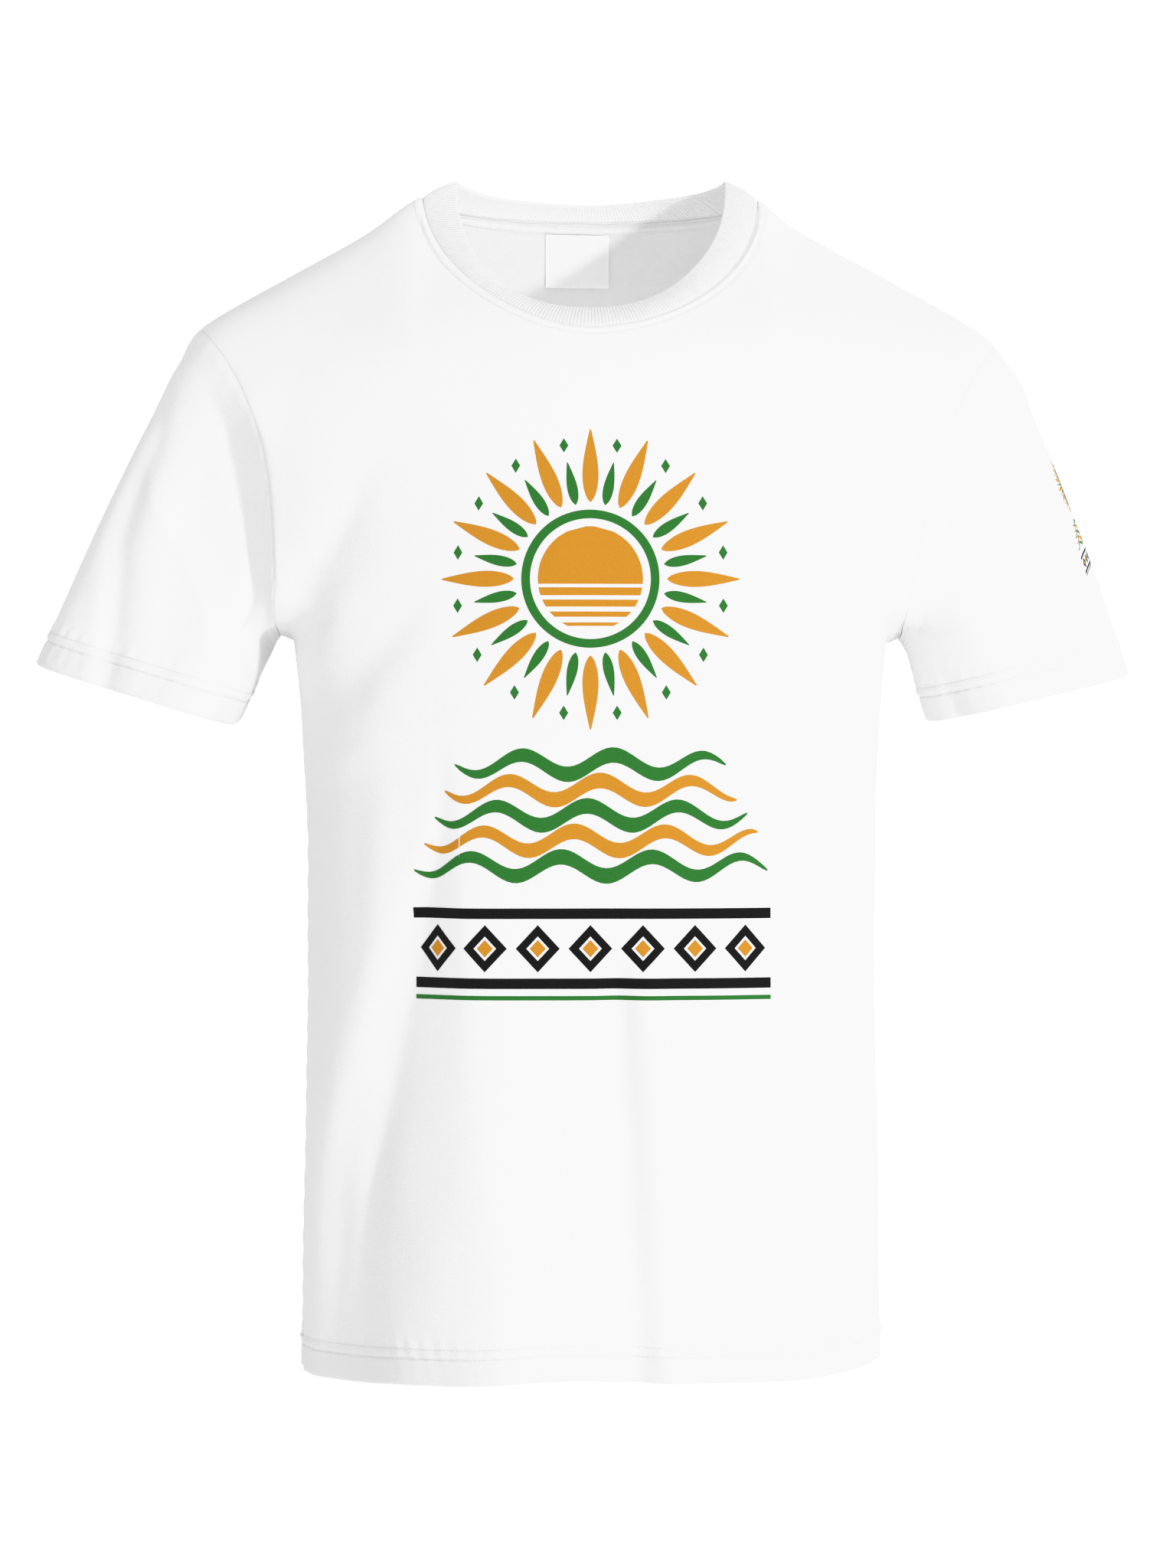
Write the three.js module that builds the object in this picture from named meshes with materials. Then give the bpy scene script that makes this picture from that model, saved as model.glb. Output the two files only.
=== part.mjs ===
// A crew-neck, short-sleeved T-shirt as it hangs on a wearer. Millimetres, +Z up.
// +X is the wearer's left, -Y the front. The origin lies midway between the two high shoulder points.
// The shirt is one smooth form, a trunk blended into two sleeve tubes. Each panel is a thin shell
// on that form, cut along its real seams.
import * as THREE from "three";
import { mergeVertices } from "three/addons/utils/BufferGeometryUtils.js";

// Cloth thicknesses and seams
const jersey = 1.6;
const foldedHem = 2.4;
const ribCollar = 2.4;
const tapeThick = 0.9;
const labelThick = 0.7;
const hemProud = 0.4;
const seamGap = 0.4;

// Heights of the main levels
const hemZ = -699;
const hemHeight = 18;
const shoulderRise = { x: 100, z: -11, slope: 0.58 };

// Trunk girth by height: half width, depth in front of and behind its own middle, where that
// middle lies in y, and how square the section is
const trunk = [
  { z: 30, wide: 30, front: 2, back: 34, mid: 12, square: 2.0 },
  { z: -11, wide: 100, front: 12, back: 53, mid: 12, square: 2.0 },
  { z: -50, wide: 167, front: 43, back: 72, mid: 8, square: 2.0 },
  { z: -92, wide: 238, front: 82, back: 92, mid: 2, square: 2.05 },
  { z: -125, wide: 222, front: 100, back: 104, mid: 0, square: 2.1 },
  { z: -170, wide: 196, front: 115, back: 112, mid: 0, square: 2.2 },
  { z: -230, wide: 183, front: 124, back: 116, mid: 0, square: 2.3 },
  { z: -310, wide: 172, front: 127, back: 113, mid: 0, square: 2.35 },
  { z: -440, wide: 168, front: 119, back: 104, mid: 0, square: 2.35 },
  { z: -580, wide: 170, front: 118, back: 110, mid: 0, square: 2.35 },
  { z: -740, wide: 172, front: 121, back: 114, mid: 0, square: 2.35 },
];

// Each sleeve: shoulder tip, armpit and the two ends of its hem, in the front view. The right
// sleeve hangs a little wider than the left one.
const sleeves = {
  left: { sign: 1, tip: [241, -93], pit: [183, -269], hemOut: [319, -287], hemIn: [200, -316], bulge: 9 },
  right: { sign: -1, tip: [234, -89], pit: [184, -267], hemOut: [327, -281], hemIn: [210, -317], bulge: 3 },
};
const sleeveTilt = 22 * Math.PI / 180;
const sleeveDepth = 62;
const sleeveHemHeight = 18;
const shoulderRound = 45;
const blend = 16;
const sleeveStart = 165;
const underarmClear = 1.5;

// Neck: the seam ring on the panels and the free edge of the rib above it
const neck = { wide: 100, sideZ: -11, frontDrop: 82, backDrop: 5 };
const collarEdge = { wide: 81, side: [14, 1], front: [-62, -79], back: [50, -8], square: 2.15 };
const label = { wide: 39, high: 33, middle: -8 };
const tape = { long: 168, top: 2, bottom: 10 };

// Grid sizes
const neckColumns = 14;
const shoulderColumns = 6;
const yokeRows = 12;
const bodyRows = 10;
const sleeveRows = 7;
const tapeColumns = 24;
const labelColumns = 5;
const yokeCrowding = 1.25;

const lerp = (a, b, t) => a + (b - a) * t;
const clamp = (t) => Math.min(1, Math.max(0, t));
const smooth = (t) => clamp(t) ** 2 * (3 - 2 * clamp(t));
const power = (v, n) => Math.abs(v) ** n;

// Smooth curve through the trunk's levels
function trunkAt(z, key) {
  let i = 1;
  while (i < trunk.length - 1 && z < trunk[i].z) i += 1;
  const level = (k) => trunk[Math.min(trunk.length - 1, Math.max(0, k))];
  const [p0, p1, p2, p3] = [level(i - 2), level(i - 1), level(i), level(i + 1)];
  const t = clamp((p1.z - z) / (p1.z - p2.z));
  const span = p1.z - p2.z;
  const slope = (a, b) => (a.z === b.z ? 0 : (b[key] - a[key]) / (a.z - b.z));
  const m1 = slope(p0, p2) * span;
  const m2 = slope(p1, p3) * span;
  const [a, b] = [p1[key], p2[key]];
  return a + m1 * t + (3 * (b - a) - 2 * m1 - m2) * t * t + (2 * (a - b) + m1 + m2) * t ** 3;
}

// Signed distance, near enough, to the trunk's section at height z
function trunkField(x, y, z) {
  const n = trunkAt(z, "square");
  const dy = y - trunkAt(z, "mid");
  const deep = trunkAt(z, dy < 0 ? "front" : "back");
  const q = (power(x / trunkAt(z, "wide"), n) + power(dy / deep, n)) ** (1 / n);
  return Math.hypot(x, dy) * (1 - 1 / Math.max(q, 0.05));
}

const ridgeZ = (x) => shoulderRise.z - shoulderRise.slope * (Math.abs(x) - shoulderRise.x);

// Height and distance out along a sleeve, from its armpit
function sleeveFrame(side, x, z) {
  const [dx, dz] = [Math.abs(x) - side.pit[0], z - side.pit[1]];
  const [c, s] = [Math.cos(sleeveTilt), Math.sin(sleeveTilt)];
  return { along: dx * s - dz * c, out: dx * c + dz * s };
}

function sleeveField(side, x, y, z) {
  const p = sleeveFrame(side, x, z);
  const tip = sleeveFrame(side, ...side.tip);
  const outer = sleeveFrame(side, ...side.hemOut);
  const inner = sleeveFrame(side, ...side.hemIn);
  const t = (p.along - tip.along) / (outer.along - tip.along);
  const top = lerp(tip.out, outer.out, t) + side.bulge * Math.sin(Math.PI * clamp(t));
  const low = lerp(underarmClear, inner.out, clamp(p.along / inner.along));
  const [middle, half] = [(top + low) / 2, (top - low) / 2];
  const q = Math.hypot((p.out - middle) / half, y / sleeveDepth);
  const tube = Math.hypot(p.out - middle, y) * (1 - 1 / Math.max(q, 0.05));
  const roof = (z - ridgeZ(x) + y * y / (2 * shoulderRound)) / Math.hypot(1, shoulderRise.slope);
  const capped = -smoothMin(-tube, -roof, blend);
  return -smoothMin(-capped, Math.abs(x) - sleeveStart, blend);
}

function smoothMin(a, b, k) {
  const h = Math.max(k - Math.abs(a - b), 0) / k;
  return Math.min(a, b) - h * h * k / 4;
}

function field(x, y, z) {
  const side = x > 0 ? sleeves.left : sleeves.right;
  return smoothMin(trunkField(x, y, z), sleeveField(side, x, y, z), blend);
}

function gradient(p, of = field) {
  const e = 0.5;
  return new THREE.Vector3(
    of(p.x + e, p.y, p.z) - of(p.x - e, p.y, p.z),
    of(p.x, p.y + e, p.z) - of(p.x, p.y - e, p.z),
    of(p.x, p.y, p.z + e) - of(p.x, p.y, p.z - e),
  ).divideScalar(2 * e);
}

// Brings a point onto the shirt's form along its slope
function settle(p) {
  for (let i = 0; i < 14; i += 1) {
    const g = gradient(p);
    p.addScaledVector(g, -0.8 * field(p.x, p.y, p.z) / g.lengthSq());
  }
  return p;
}

// Point on the form at a given x and z, on the front (facing -1) or the back (facing 1)
function onFace(x, z, facing) {
  let [near, far] = [trunkAt(z, "mid"), facing * 200];
  for (let i = 0; i < 40; i += 1) {
    const y = (near + far) / 2;
    if (field(x, y, z) < 0) near = y;
    else far = y;
  }
  return new THREE.Vector3(x, (near + far) / 2, z);
}

// Front view line of the armhole seam: how far out it lies at height z
function armholeX(side, z) {
  const t = clamp((z - side.pit[1]) / (side.tip[1] - side.pit[1]));
  return lerp(side.pit[0], side.tip[0], 0.5 * t + 0.5 * t ** 4);
}

// Height of a panel's top edge: the shoulder seam, or the neckline between the high points
function topZ(x, facing) {
  const across = Math.abs(x) / neck.wide;
  if (across >= 1) return ridgeZ(x);
  const drop = facing < 0 ? neck.frontDrop : neck.backDrop;
  return neck.sideZ - drop * Math.sqrt(1 - across * across);
}

function topEdge(x, facing) {
  const z = topZ(x, facing);
  if (Math.abs(x) >= neck.wide) return settle(new THREE.Vector3(x, trunkAt(z, "mid"), z));
  return facing < 0 ? onFace(x, z, facing) : backNeckPoint(x);
}

// The back neckline is an ellipse seen from above
function backNeckPoint(x) {
  const z = topZ(x, 1);
  const y = trunkAt(z, "mid") + trunkAt(z, "back") * Math.sqrt(Math.max(0, 1 - (x / neck.wide) ** 2));
  return settle(new THREE.Vector3(x, y, z));
}

// Columns across a panel, evenly from the right armhole (-1) to the left one (1)
function columnsAcross() {
  const half = neckColumns / 2 + shoulderColumns;
  return Array.from({ length: 2 * half + 1 }, (_, i) => (i - half) / half);
}

// Where a column meets the top edge: along the neckline, then out along the shoulder seam
function topEdgeX(w, side) {
  const corner = neckColumns / (neckColumns + 2 * shoulderColumns);
  const out = Math.abs(w) / corner;
  if (out <= 1) return Math.sign(w) * neck.wide * Math.sin(Math.PI / 2 * out);
  return Math.sign(w) * lerp(neck.wide, side.tip[0], (Math.abs(w) - corner) / (1 - corner));
}

// One point of the front or back panel, in column w and some rows down from the top edge
function panelPoint(facing, w, row) {
  const side = w > 0 ? sleeves.left : sleeves.right;
  const edge = topEdgeX(w, side);
  const top = topEdge(edge, facing);
  if (row === 0) return top;
  if (row > yokeRows) {
    return trunkPoint(facing, w, lerp(side.pit[1], hemZ + hemHeight, (row - yokeRows) / bodyRows));
  }
  const t = (row / yokeRows) ** yokeCrowding;
  const z = lerp(top.z, side.pit[1] + 1, t);
  if (Math.abs(w) === 1) return armholePoint(side, facing, z);
  const upper = edge * armholeX(side, z) / side.tip[0];
  return settle(onFace(lerp(upper, trunkPoint(facing, w, z).x, smooth(t)), z, facing));
}

function trunkPoint(facing, w, z) {
  const n = 2 / trunkAt(z, "square");
  const [s, c] = [Math.sin(w * Math.PI / 2), Math.cos(w * Math.PI / 2)];
  const x = Math.sign(s) * power(s, n) * trunkAt(z, "wide");
  const y = power(c, n) * trunkAt(z, facing < 0 ? "front" : "back");
  return new THREE.Vector3(x, trunkAt(z, "mid") + facing * y, z);
}

function armholePoint(side, facing, z) {
  if (z <= side.pit[1] + 2) return new THREE.Vector3(side.sign * side.pit[0], 0, side.pit[1]);
  return onFace(side.sign * armholeX(side, z), z, facing);
}

// A closed shell from a grid of points on the form. Its outer face lies lift outside the grid and
// its inner face thick inside that. A ring closes on itself across.
function shell(rows, thick, { lift = 0, ring = false, normals = null } = {}) {
  const across = rows[0].length;
  const outward = normals ?? rows.map((row) => row.map((p) => gradient(p).normalize()));
  const raised = (p, r, c, by) => p.clone().addScaledVector(outward[r][c], by);
  const skin = (by) => rows.map((row, r) => row.map((p, c) => raised(p, r, c, by)));
  const [outer, inner] = [skin(lift), skin(lift - thick)];
  const positions = [];
  const quad = (a, b, c, d) => {
    for (const p of [a, b, c, a, c, d]) positions.push(p.x, p.y, p.z);
  };
  const last = ring ? across : across - 1;
  const next = (c) => (c + 1) % across;
  for (let r = 0; r < rows.length - 1; r += 1) {
    for (let c = 0; c < last; c += 1) {
      quad(outer[r][c], outer[r + 1][c], outer[r + 1][next(c)], outer[r][next(c)]);
      quad(inner[r][c], inner[r][next(c)], inner[r + 1][next(c)], inner[r + 1][c]);
    }
  }
  const bottom = rows.length - 1;
  for (let c = 0; c < last; c += 1) {
    quad(outer[0][c], outer[0][next(c)], inner[0][next(c)], inner[0][c]);
    quad(outer[bottom][c], inner[bottom][c], inner[bottom][next(c)], outer[bottom][next(c)]);
  }
  for (let r = 0; r < bottom && !ring; r += 1) {
    quad(outer[r][0], inner[r][0], inner[r + 1][0], outer[r + 1][0]);
    quad(outer[r][across - 1], outer[r + 1][across - 1], inner[r + 1][across - 1], inner[r][across - 1]);
  }
  const geometry = new THREE.BufferGeometry();
  geometry.setAttribute("position", new THREE.Float32BufferAttribute(positions, 3));
  return mergeVertices(turnedOutward(geometry), 1e-4);
}

// Turns every face over when the shell's volume comes out negative
function turnedOutward(geometry) {
  const p = geometry.attributes.position;
  const [a, b, c] = [new THREE.Vector3(), new THREE.Vector3(), new THREE.Vector3()];
  let volume = 0;
  for (let i = 0; i < p.count; i += 3) {
    a.fromBufferAttribute(p, i);
    b.fromBufferAttribute(p, i + 1);
    c.fromBufferAttribute(p, i + 2);
    volume += a.dot(b.clone().cross(c));
  }
  if (volume > 0) return geometry;
  for (let i = 0; i < p.count; i += 3) {
    b.fromBufferAttribute(p, i + 1);
    c.fromBufferAttribute(p, i + 2);
    p.setXYZ(i + 1, c.x, c.y, c.z);
    p.setXYZ(i + 2, b.x, b.y, b.z);
  }
  return geometry;
}

// Draws an edge back into its piece, square to the edge itself, by half a seam gap
function drawnBack(edge, inside, ring = false, by = seamGap / 2) {
  const last = edge.length - 1;
  return edge.map((p, i) => {
    const before = edge[i > 0 ? i - 1 : ring ? last : 0];
    const after = edge[i < last ? i + 1 : ring ? 0 : last];
    const along = after.clone().sub(before).normalize();
    const inward = inside[i].clone().sub(p);
    inward.addScaledVector(along, -inward.dot(along));
    return p.clone().add(inward.setLength(by));
  });
}

// A grid with its seamed edges drawn back, so that neighbours stay clear of each other
function trimmed(rows, { top = true, bottom = true, ring = false }) {
  const out = rows.map((row) => row.slice());
  const end = rows.length - 1;
  if (top) out[0] = drawnBack(out[0], out[1], ring);
  if (bottom) out[end] = drawnBack(out[end], out[end - 1], ring);
  if (ring) return out;
  const column = (c) => out.map((row) => row.at(c));
  const [right, left] = [drawnBack(column(0), column(1)), drawnBack(column(-1), column(-2))];
  return out.map((row, r) => [right[r], ...row.slice(1, -1), left[r]]);
}

function piece(name, geometry, colour = "#f3f3f1") {
  const cloth = new THREE.MeshStandardMaterial({ color: colour, roughness: 0.9, metalness: 0 });
  const mesh = new THREE.Mesh(geometry, cloth);
  mesh.name = name;
  return mesh;
}

function panelRows(facing) {
  const rows = [];
  for (let row = 0; row <= yokeRows + bodyRows; row += 1) {
    rows.push(columnsAcross().map((w) => panelPoint(facing, w, row)));
  }
  return rows;
}

const frontRows = panelRows(-1);
const backRows = panelRows(1);

// The hem band under a panel, two layers of the panel's own cloth
function hemRows(panel, facing) {
  return [0, 0.5, 1].map((t) => {
    const z = lerp(hemZ + hemHeight, hemZ, t);
    return t === 0 ? panel.at(-1) : columnsAcross().map((w) => trunkPoint(facing, w, z));
  });
}

// The armhole seam as a closed loop: down the front edge of the panels and up the back one
function armholeLoop(side) {
  const column = (row) => (side.sign > 0 ? row.at(-1) : row[0]);
  const front = frontRows.slice(0, yokeRows + 1).map(column);
  const back = backRows.slice(1, yokeRows).map(column).reverse();
  return [...front, ...back];
}

// Ring round a sleeve in the plane of its hem, raised by some height above the hem
function sleeveRing(side, raise, count) {
  const [outer, inner] = [side.hemOut, side.hemIn];
  const across = new THREE.Vector3(side.sign * (outer[0] - inner[0]), 0, outer[1] - inner[1]).normalize();
  const up = new THREE.Vector3(0, side.sign, 0).cross(across).multiplyScalar(-1);
  if (up.z < 0) up.negate();
  const middle = new THREE.Vector3(side.sign * (outer[0] + inner[0]) / 2, 0, (outer[1] + inner[1]) / 2);
  middle.addScaledVector(up, raise);
  const ring = [];
  for (let i = 0; i < count; i += 1) {
    const turn = 2 * Math.PI * i / count;
    const ray = across.clone().multiplyScalar(Math.cos(turn)).add(new THREE.Vector3(0, -Math.sin(turn), 0));
    let [near, far] = [0, 110];
    for (let k = 0; k < 36; k += 1) {
      const reach = (near + far) / 2;
      const p = middle.clone().addScaledVector(ray, reach);
      if (sleeveField(side, p.x, p.y, p.z) < 0) near = reach;
      else far = reach;
    }
    ring.push(middle.clone().addScaledVector(ray, (near + far) / 2));
  }
  return ring;
}

function sleeveGrid(side) {
  const start = armholeLoop(side);
  const end = sleeveRing(side, sleeveHemHeight, start.length);
  const rows = [];
  for (let r = 0; r <= sleeveRows; r += 1) {
    const t = r / sleeveRows;
    rows.push(start.map((p, c) => {
      const q = p.clone().lerp(end[c], t);
      return r === 0 || r === sleeveRows ? q : settle(q);
    }));
  }
  return rows;
}

// The free edge of the collar beside each neckline point
function collarEdgePoint(x, facing) {
  const t = clamp(Math.abs(x) / neck.wide);
  const depth = (1 - t ** collarEdge.square) ** (1 / collarEdge.square);
  const end = facing < 0 ? collarEdge.front : collarEdge.back;
  return new THREE.Vector3(
    Math.sign(x) * t * collarEdge.wide,
    lerp(collarEdge.side[0], end[0], depth),
    lerp(collarEdge.side[1], end[1], depth),
  );
}

function neckLoop() {
  const between = (p) => Math.abs(p.x) <= neck.wide + 0.01;
  const front = frontRows[0].filter(between);
  const back = backRows[0].filter(between).slice(1, -1).reverse();
  return [...front.map((p) => [p, -1]), ...back.map((p) => [p, 1])];
}

function collar() {
  const loop = neckLoop();
  const seam = loop.map(([p]) => p);
  const edge = loop.map(([p, facing]) => collarEdgePoint(p.x, facing));
  const rows = [0, 1, 2, 3].map((r) => seam.map((p, c) => p.clone().lerp(edge[c], r / 3)));
  const count = seam.length;
  const normals = rows.map((row, r) => row.map((p, c) => {
    const round = row[(c + 1) % count].clone().sub(row[(c + count - 1) % count]);
    const up = edge[c].clone().sub(seam[c]);
    const n = round.cross(up).normalize();
    if (n.dot(new THREE.Vector3(p.x, p.y, 30)) < 0) n.negate();
    return gradient(seam[c]).normalize().lerp(n, Math.min(1, r)).normalize();
  }));
  rows[0] = drawnBack(rows[0], rows[1], true, seamGap);
  return shell(rows, ribCollar, { lift: hemProud, ring: true, normals });
}

// Point on the back panel, some distance down from the neck seam
function downBackPanel(x, drop) {
  const c = backRows[0].findIndex((p) => p.x > x) - 1;
  const f = (x - backRows[0][c].x) / (backRows[0][c + 1].x - backRows[0][c].x);
  const across = (r) => backRows[r][c].clone().lerp(backRows[r][c + 1], f);
  let left = drop;
  let r = 0;
  while (left > across(r).distanceTo(across(r + 1))) {
    left -= across(r).distanceTo(across(r + 1));
    r += 1;
  }
  return across(r).lerp(across(r + 1), left / across(r).distanceTo(across(r + 1)));
}

// A strip that lies inside the back panel, between two distances below the neck seam
function insideBack(middle, halfWide, from, to, thick, columns) {
  const rows = [0, 1, 2, 3].map((r) => {
    const row = [];
    for (let c = 0; c <= columns; c += 1) {
      const x = middle + lerp(-halfWide, halfWide, c / columns);
      row.push(downBackPanel(x, lerp(from, to, r / 3)));
    }
    return row;
  });
  return shell(rows, thick, { lift: -jersey - 2 * seamGap });
}

const model = new THREE.Group();

for (const [name, rows, facing] of [["front", frontRows, -1], ["back", backRows, 1]]) {
  // From the armpit down a panel is thickened square to the trunk, clear of the sleeve beside it
  const form = (r) => (r < yokeRows ? field : trunkField);
  const normals = rows.map((row, r) => row.map((p) => gradient(p, form(r)).normalize()));
  model.add(piece(`${name}_panel`, shell(trimmed(rows, {}), jersey, { normals })));
  const band = trimmed(hemRows(rows, facing), { bottom: false });
  model.add(piece(`${name}_hem`, shell(band, foldedHem, { lift: hemProud })));
}

for (const [name, side] of Object.entries(sleeves)) {
  const rows = sleeveGrid(side);
  model.add(piece(`${name}_sleeve`, shell(trimmed(rows, { ring: true }), jersey, { ring: true })));
  const count = rows[0].length;
  const band = [rows.at(-1), sleeveRing(side, sleeveHemHeight / 2, count), sleeveRing(side, 0, count)];
  const cut = trimmed(band, { bottom: false, ring: true });
  model.add(piece(`${name}_sleeve_hem`, shell(cut, foldedHem, { lift: hemProud, ring: true })));
}

model.add(piece("collar_rib", collar(), "#f1f1ef"));
const tapeCloth = insideBack(0, tape.long / 2, tape.top, tape.bottom, tapeThick, tapeColumns);
model.add(piece("neck_tape", tapeCloth, "#ececea"));
const labelTop = tape.bottom + seamGap;
const labelCloth = insideBack(
  label.middle, label.wide / 2, labelTop, labelTop + label.high, labelThick, labelColumns,
);
model.add(piece("neck_label", labelCloth, "#fbfbfa"));

export default model;
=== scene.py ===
import bmesh
import bpy
import numpy as np
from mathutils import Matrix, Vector


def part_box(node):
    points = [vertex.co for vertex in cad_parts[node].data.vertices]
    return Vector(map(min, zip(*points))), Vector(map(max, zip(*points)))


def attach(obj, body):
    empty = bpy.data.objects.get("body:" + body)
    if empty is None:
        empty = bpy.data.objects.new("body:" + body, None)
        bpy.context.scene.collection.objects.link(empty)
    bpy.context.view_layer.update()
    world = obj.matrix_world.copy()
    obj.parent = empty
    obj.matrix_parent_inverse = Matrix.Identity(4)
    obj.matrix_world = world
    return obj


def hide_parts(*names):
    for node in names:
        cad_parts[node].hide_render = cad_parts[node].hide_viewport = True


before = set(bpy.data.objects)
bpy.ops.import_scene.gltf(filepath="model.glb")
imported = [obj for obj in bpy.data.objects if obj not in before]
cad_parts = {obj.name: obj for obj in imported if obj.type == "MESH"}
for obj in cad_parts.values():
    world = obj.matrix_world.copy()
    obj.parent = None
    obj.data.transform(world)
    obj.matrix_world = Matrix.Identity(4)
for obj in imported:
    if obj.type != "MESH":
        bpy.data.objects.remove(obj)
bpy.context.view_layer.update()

# A crew-neck T-shirt as it hangs on a wearer. Shapes are worked out in millimetres and put into
# meshes in metres. +X is the wearer's left, -Y the front.
mm = 0.001
print("frame loaded:", len(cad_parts), "nodes")


def lerp(a, b, t):
    # from a where t is 0 to b where it is 1
    return a + (b - a) * t


def smooth(t):
    # 3t^2 - 2t^3 between 0 and 1
    t = np.clip(t, 0, 1)
    return t * t * (3 - 2 * t)


def hill(d, wide):
    # e to the minus (d / wide) squared
    return np.exp(-(d / wide) ** 2)


def unit(v):
    # each vector over its own length
    return v / np.maximum(np.linalg.norm(v, axis=-1, keepdims=True), 1e-9)


def crowded(length, near, far, growth=1.3):
    # places from 0 to 1 along a strip: steps of near at both ends, growing to far in the middle
    steps = near * growth ** np.arange(60)
    steps = np.minimum(steps, far)
    half = np.cumsum(steps)
    half = half[half < length / 2 - far]
    middle = np.linspace(half[-1], length - half[-1], int((length - 2 * half[-1]) / far) + 2)
    return np.concatenate([[0], half[:-1], middle, length - half[:-1][::-1], [length]]) / length


# the shirt's form, the same as the frame's

shirtForm = {
    # height, half width, depth in front, depth behind, the middle's y, how square the section is
    "levels": [
        (30, 30, 2, 34, 12, 2.0), (-11, 100, 12, 53, 12, 2.0), (-50, 167, 43, 72, 8, 2.0),
        (-92, 232, 82, 92, 2, 2.05), (-125, 222, 100, 104, 0, 2.1), (-170, 196, 115, 112, 0, 2.2),
        (-230, 183, 124, 116, 0, 2.3), (-310, 172, 127, 113, 0, 2.35), (-440, 168, 119, 104, 0, 2.35),
        (-580, 170, 118, 110, 0, 2.35), (-740, 172, 121, 114, 0, 2.35),
    ],
    "shoulderZ": -11, "shoulderSlope": 0.58, "shoulderRound": 45,
    "sleeveTilt": 22, "sleeveStart": 165, "underarmClear": 1.5, "blend": 16,
    "bridgeFront": 52, "bridgeBack": 34,
    "neckWide": 100, "frontDrop": 79, "backDrop": 5,
    "neckSquare": (1.7, 1.95),  # how full the neckline is in front, right and left
    "hemZ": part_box("front_hem")[0].z / mm, "hemHigh": 18,
}
# shoulder tip, armpit and both ends of the hem as (x, z); how far the top line bulges and the sleeve head
# fills out; depth in front and behind, and how much the front's grows towards the body; how square the
# lower and the upper half of the section are; how straight the armhole line runs
sleeveForm = {
    "left": {"sign": 1, "tip": (241, -93), "pit": (183, -269), "hemOut": (318, -287), "hemIn": (200, -316),
             "bulge": 4, "full": 2.5, "deep": (60, 62), "lean": 0.0, "square": (1.9, 2.8), "straight": 0.5},
    "right": {"sign": -1, "tip": (231, -88), "pit": (184, -267), "hemOut": (327, -281), "hemIn": (210, -317),
              "bulge": 3.5, "full": 1.0, "deep": (52, 62), "lean": 0.24, "square": (4.0, 4.0),
              "straight": 0.05},
}
hemTop = shirtForm["hemZ"] + shirtForm["hemHigh"]
tableZ = np.arange(30, -760, -0.5)


def levelTable(levels):
    # cubic through the levels: a + m1 t + (3(b-a) - 2m1 - m2) t^2 + (2(a-b) + m1 + m2) t^3
    levels = np.array(levels, float)
    last = len(levels) - 1
    i = np.clip(np.searchsorted(-levels[:, 0], -tableZ, side="right"), 1, last)
    before, a, b = levels[np.maximum(i - 2, 0)], levels[i - 1], levels[i]
    after = levels[np.minimum(i + 1, last)]
    span = a[:, :1] - b[:, :1]
    t = np.clip((a[:, :1] - tableZ[:, None]) / span, 0, 1)
    m1 = (b - before) / (before[:, :1] - b[:, :1]) * span
    m2 = (after - a) / (a[:, :1] - after[:, :1]) * span
    return a + m1 * t + (3 * (b - a) - 2 * m1 - m2) * t ** 2 + (2 * (a - b) + m1 + m2) * t ** 3


trunkTable = levelTable(shirtForm["levels"])


def trunkAt(z):
    # half width, depth in front and behind, the middle's y and the squareness at height z
    return [np.interp(-np.asarray(z, float), -tableZ, trunkTable[:, k]) for k in range(1, 6)]


def smoothMin(a, b, k):
    # the smaller of two distances, rounded over where they are within k of each other
    h = np.maximum(k - np.abs(a - b), 0) / k
    return np.minimum(a, b) - h * h * k / 4


def trunkField(x, y, z):
    # distance from the middle times (1 - 1/q), q being the superellipse's own radius
    wide, front, back, mid, square = trunkAt(z)
    dy = y - mid
    deep = np.where(dy < 0, front, back)
    q = (np.abs(x / wide) ** square + np.abs(dy / deep) ** square) ** (1 / square)
    return np.hypot(x, dy) * (1 - 1 / np.maximum(q, 0.05))


def ridgeZ(x):
    # the shoulder line: a straight slope outwards from the side of the neck
    return shirtForm["shoulderZ"] - shirtForm["shoulderSlope"] * (np.abs(x) - shirtForm["neckWide"])


def sleeveFrame(side, x, z):
    # how far along and how far out from the armpit, in axes tilted with the sleeve
    tilt = np.radians(shirtForm["sleeveTilt"])
    dx, dz = np.abs(x) - side["pit"][0], z - side["pit"][1]
    return dx * np.sin(tilt) - dz * np.cos(tilt), dx * np.cos(tilt) + dz * np.sin(tilt)


def sleeveSection(side, x, z):
    # the sleeve's own frame: along, out, and the middle and half height of its section there
    along, out = sleeveFrame(side, x, z)
    tipAlong, tipOut = sleeveFrame(side, *side["tip"])
    outerAlong, outerOut = sleeveFrame(side, *side["hemOut"])
    innerAlong, innerOut = sleeveFrame(side, *side["hemIn"])
    t = (along - tipAlong) / (outerAlong - tipAlong)
    top = lerp(tipOut, outerOut, t) + side["bulge"] * np.sin(np.pi * np.clip(t, 0, 1))
    top = top + side["full"] * hill(t - 0.13, 0.1)  # the sleeve head
    low = lerp(shirtForm["underarmClear"], innerOut, np.clip(along / innerAlong, 0, 1))
    return along, out, (top + low) / 2, (top - low) / 2


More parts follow.
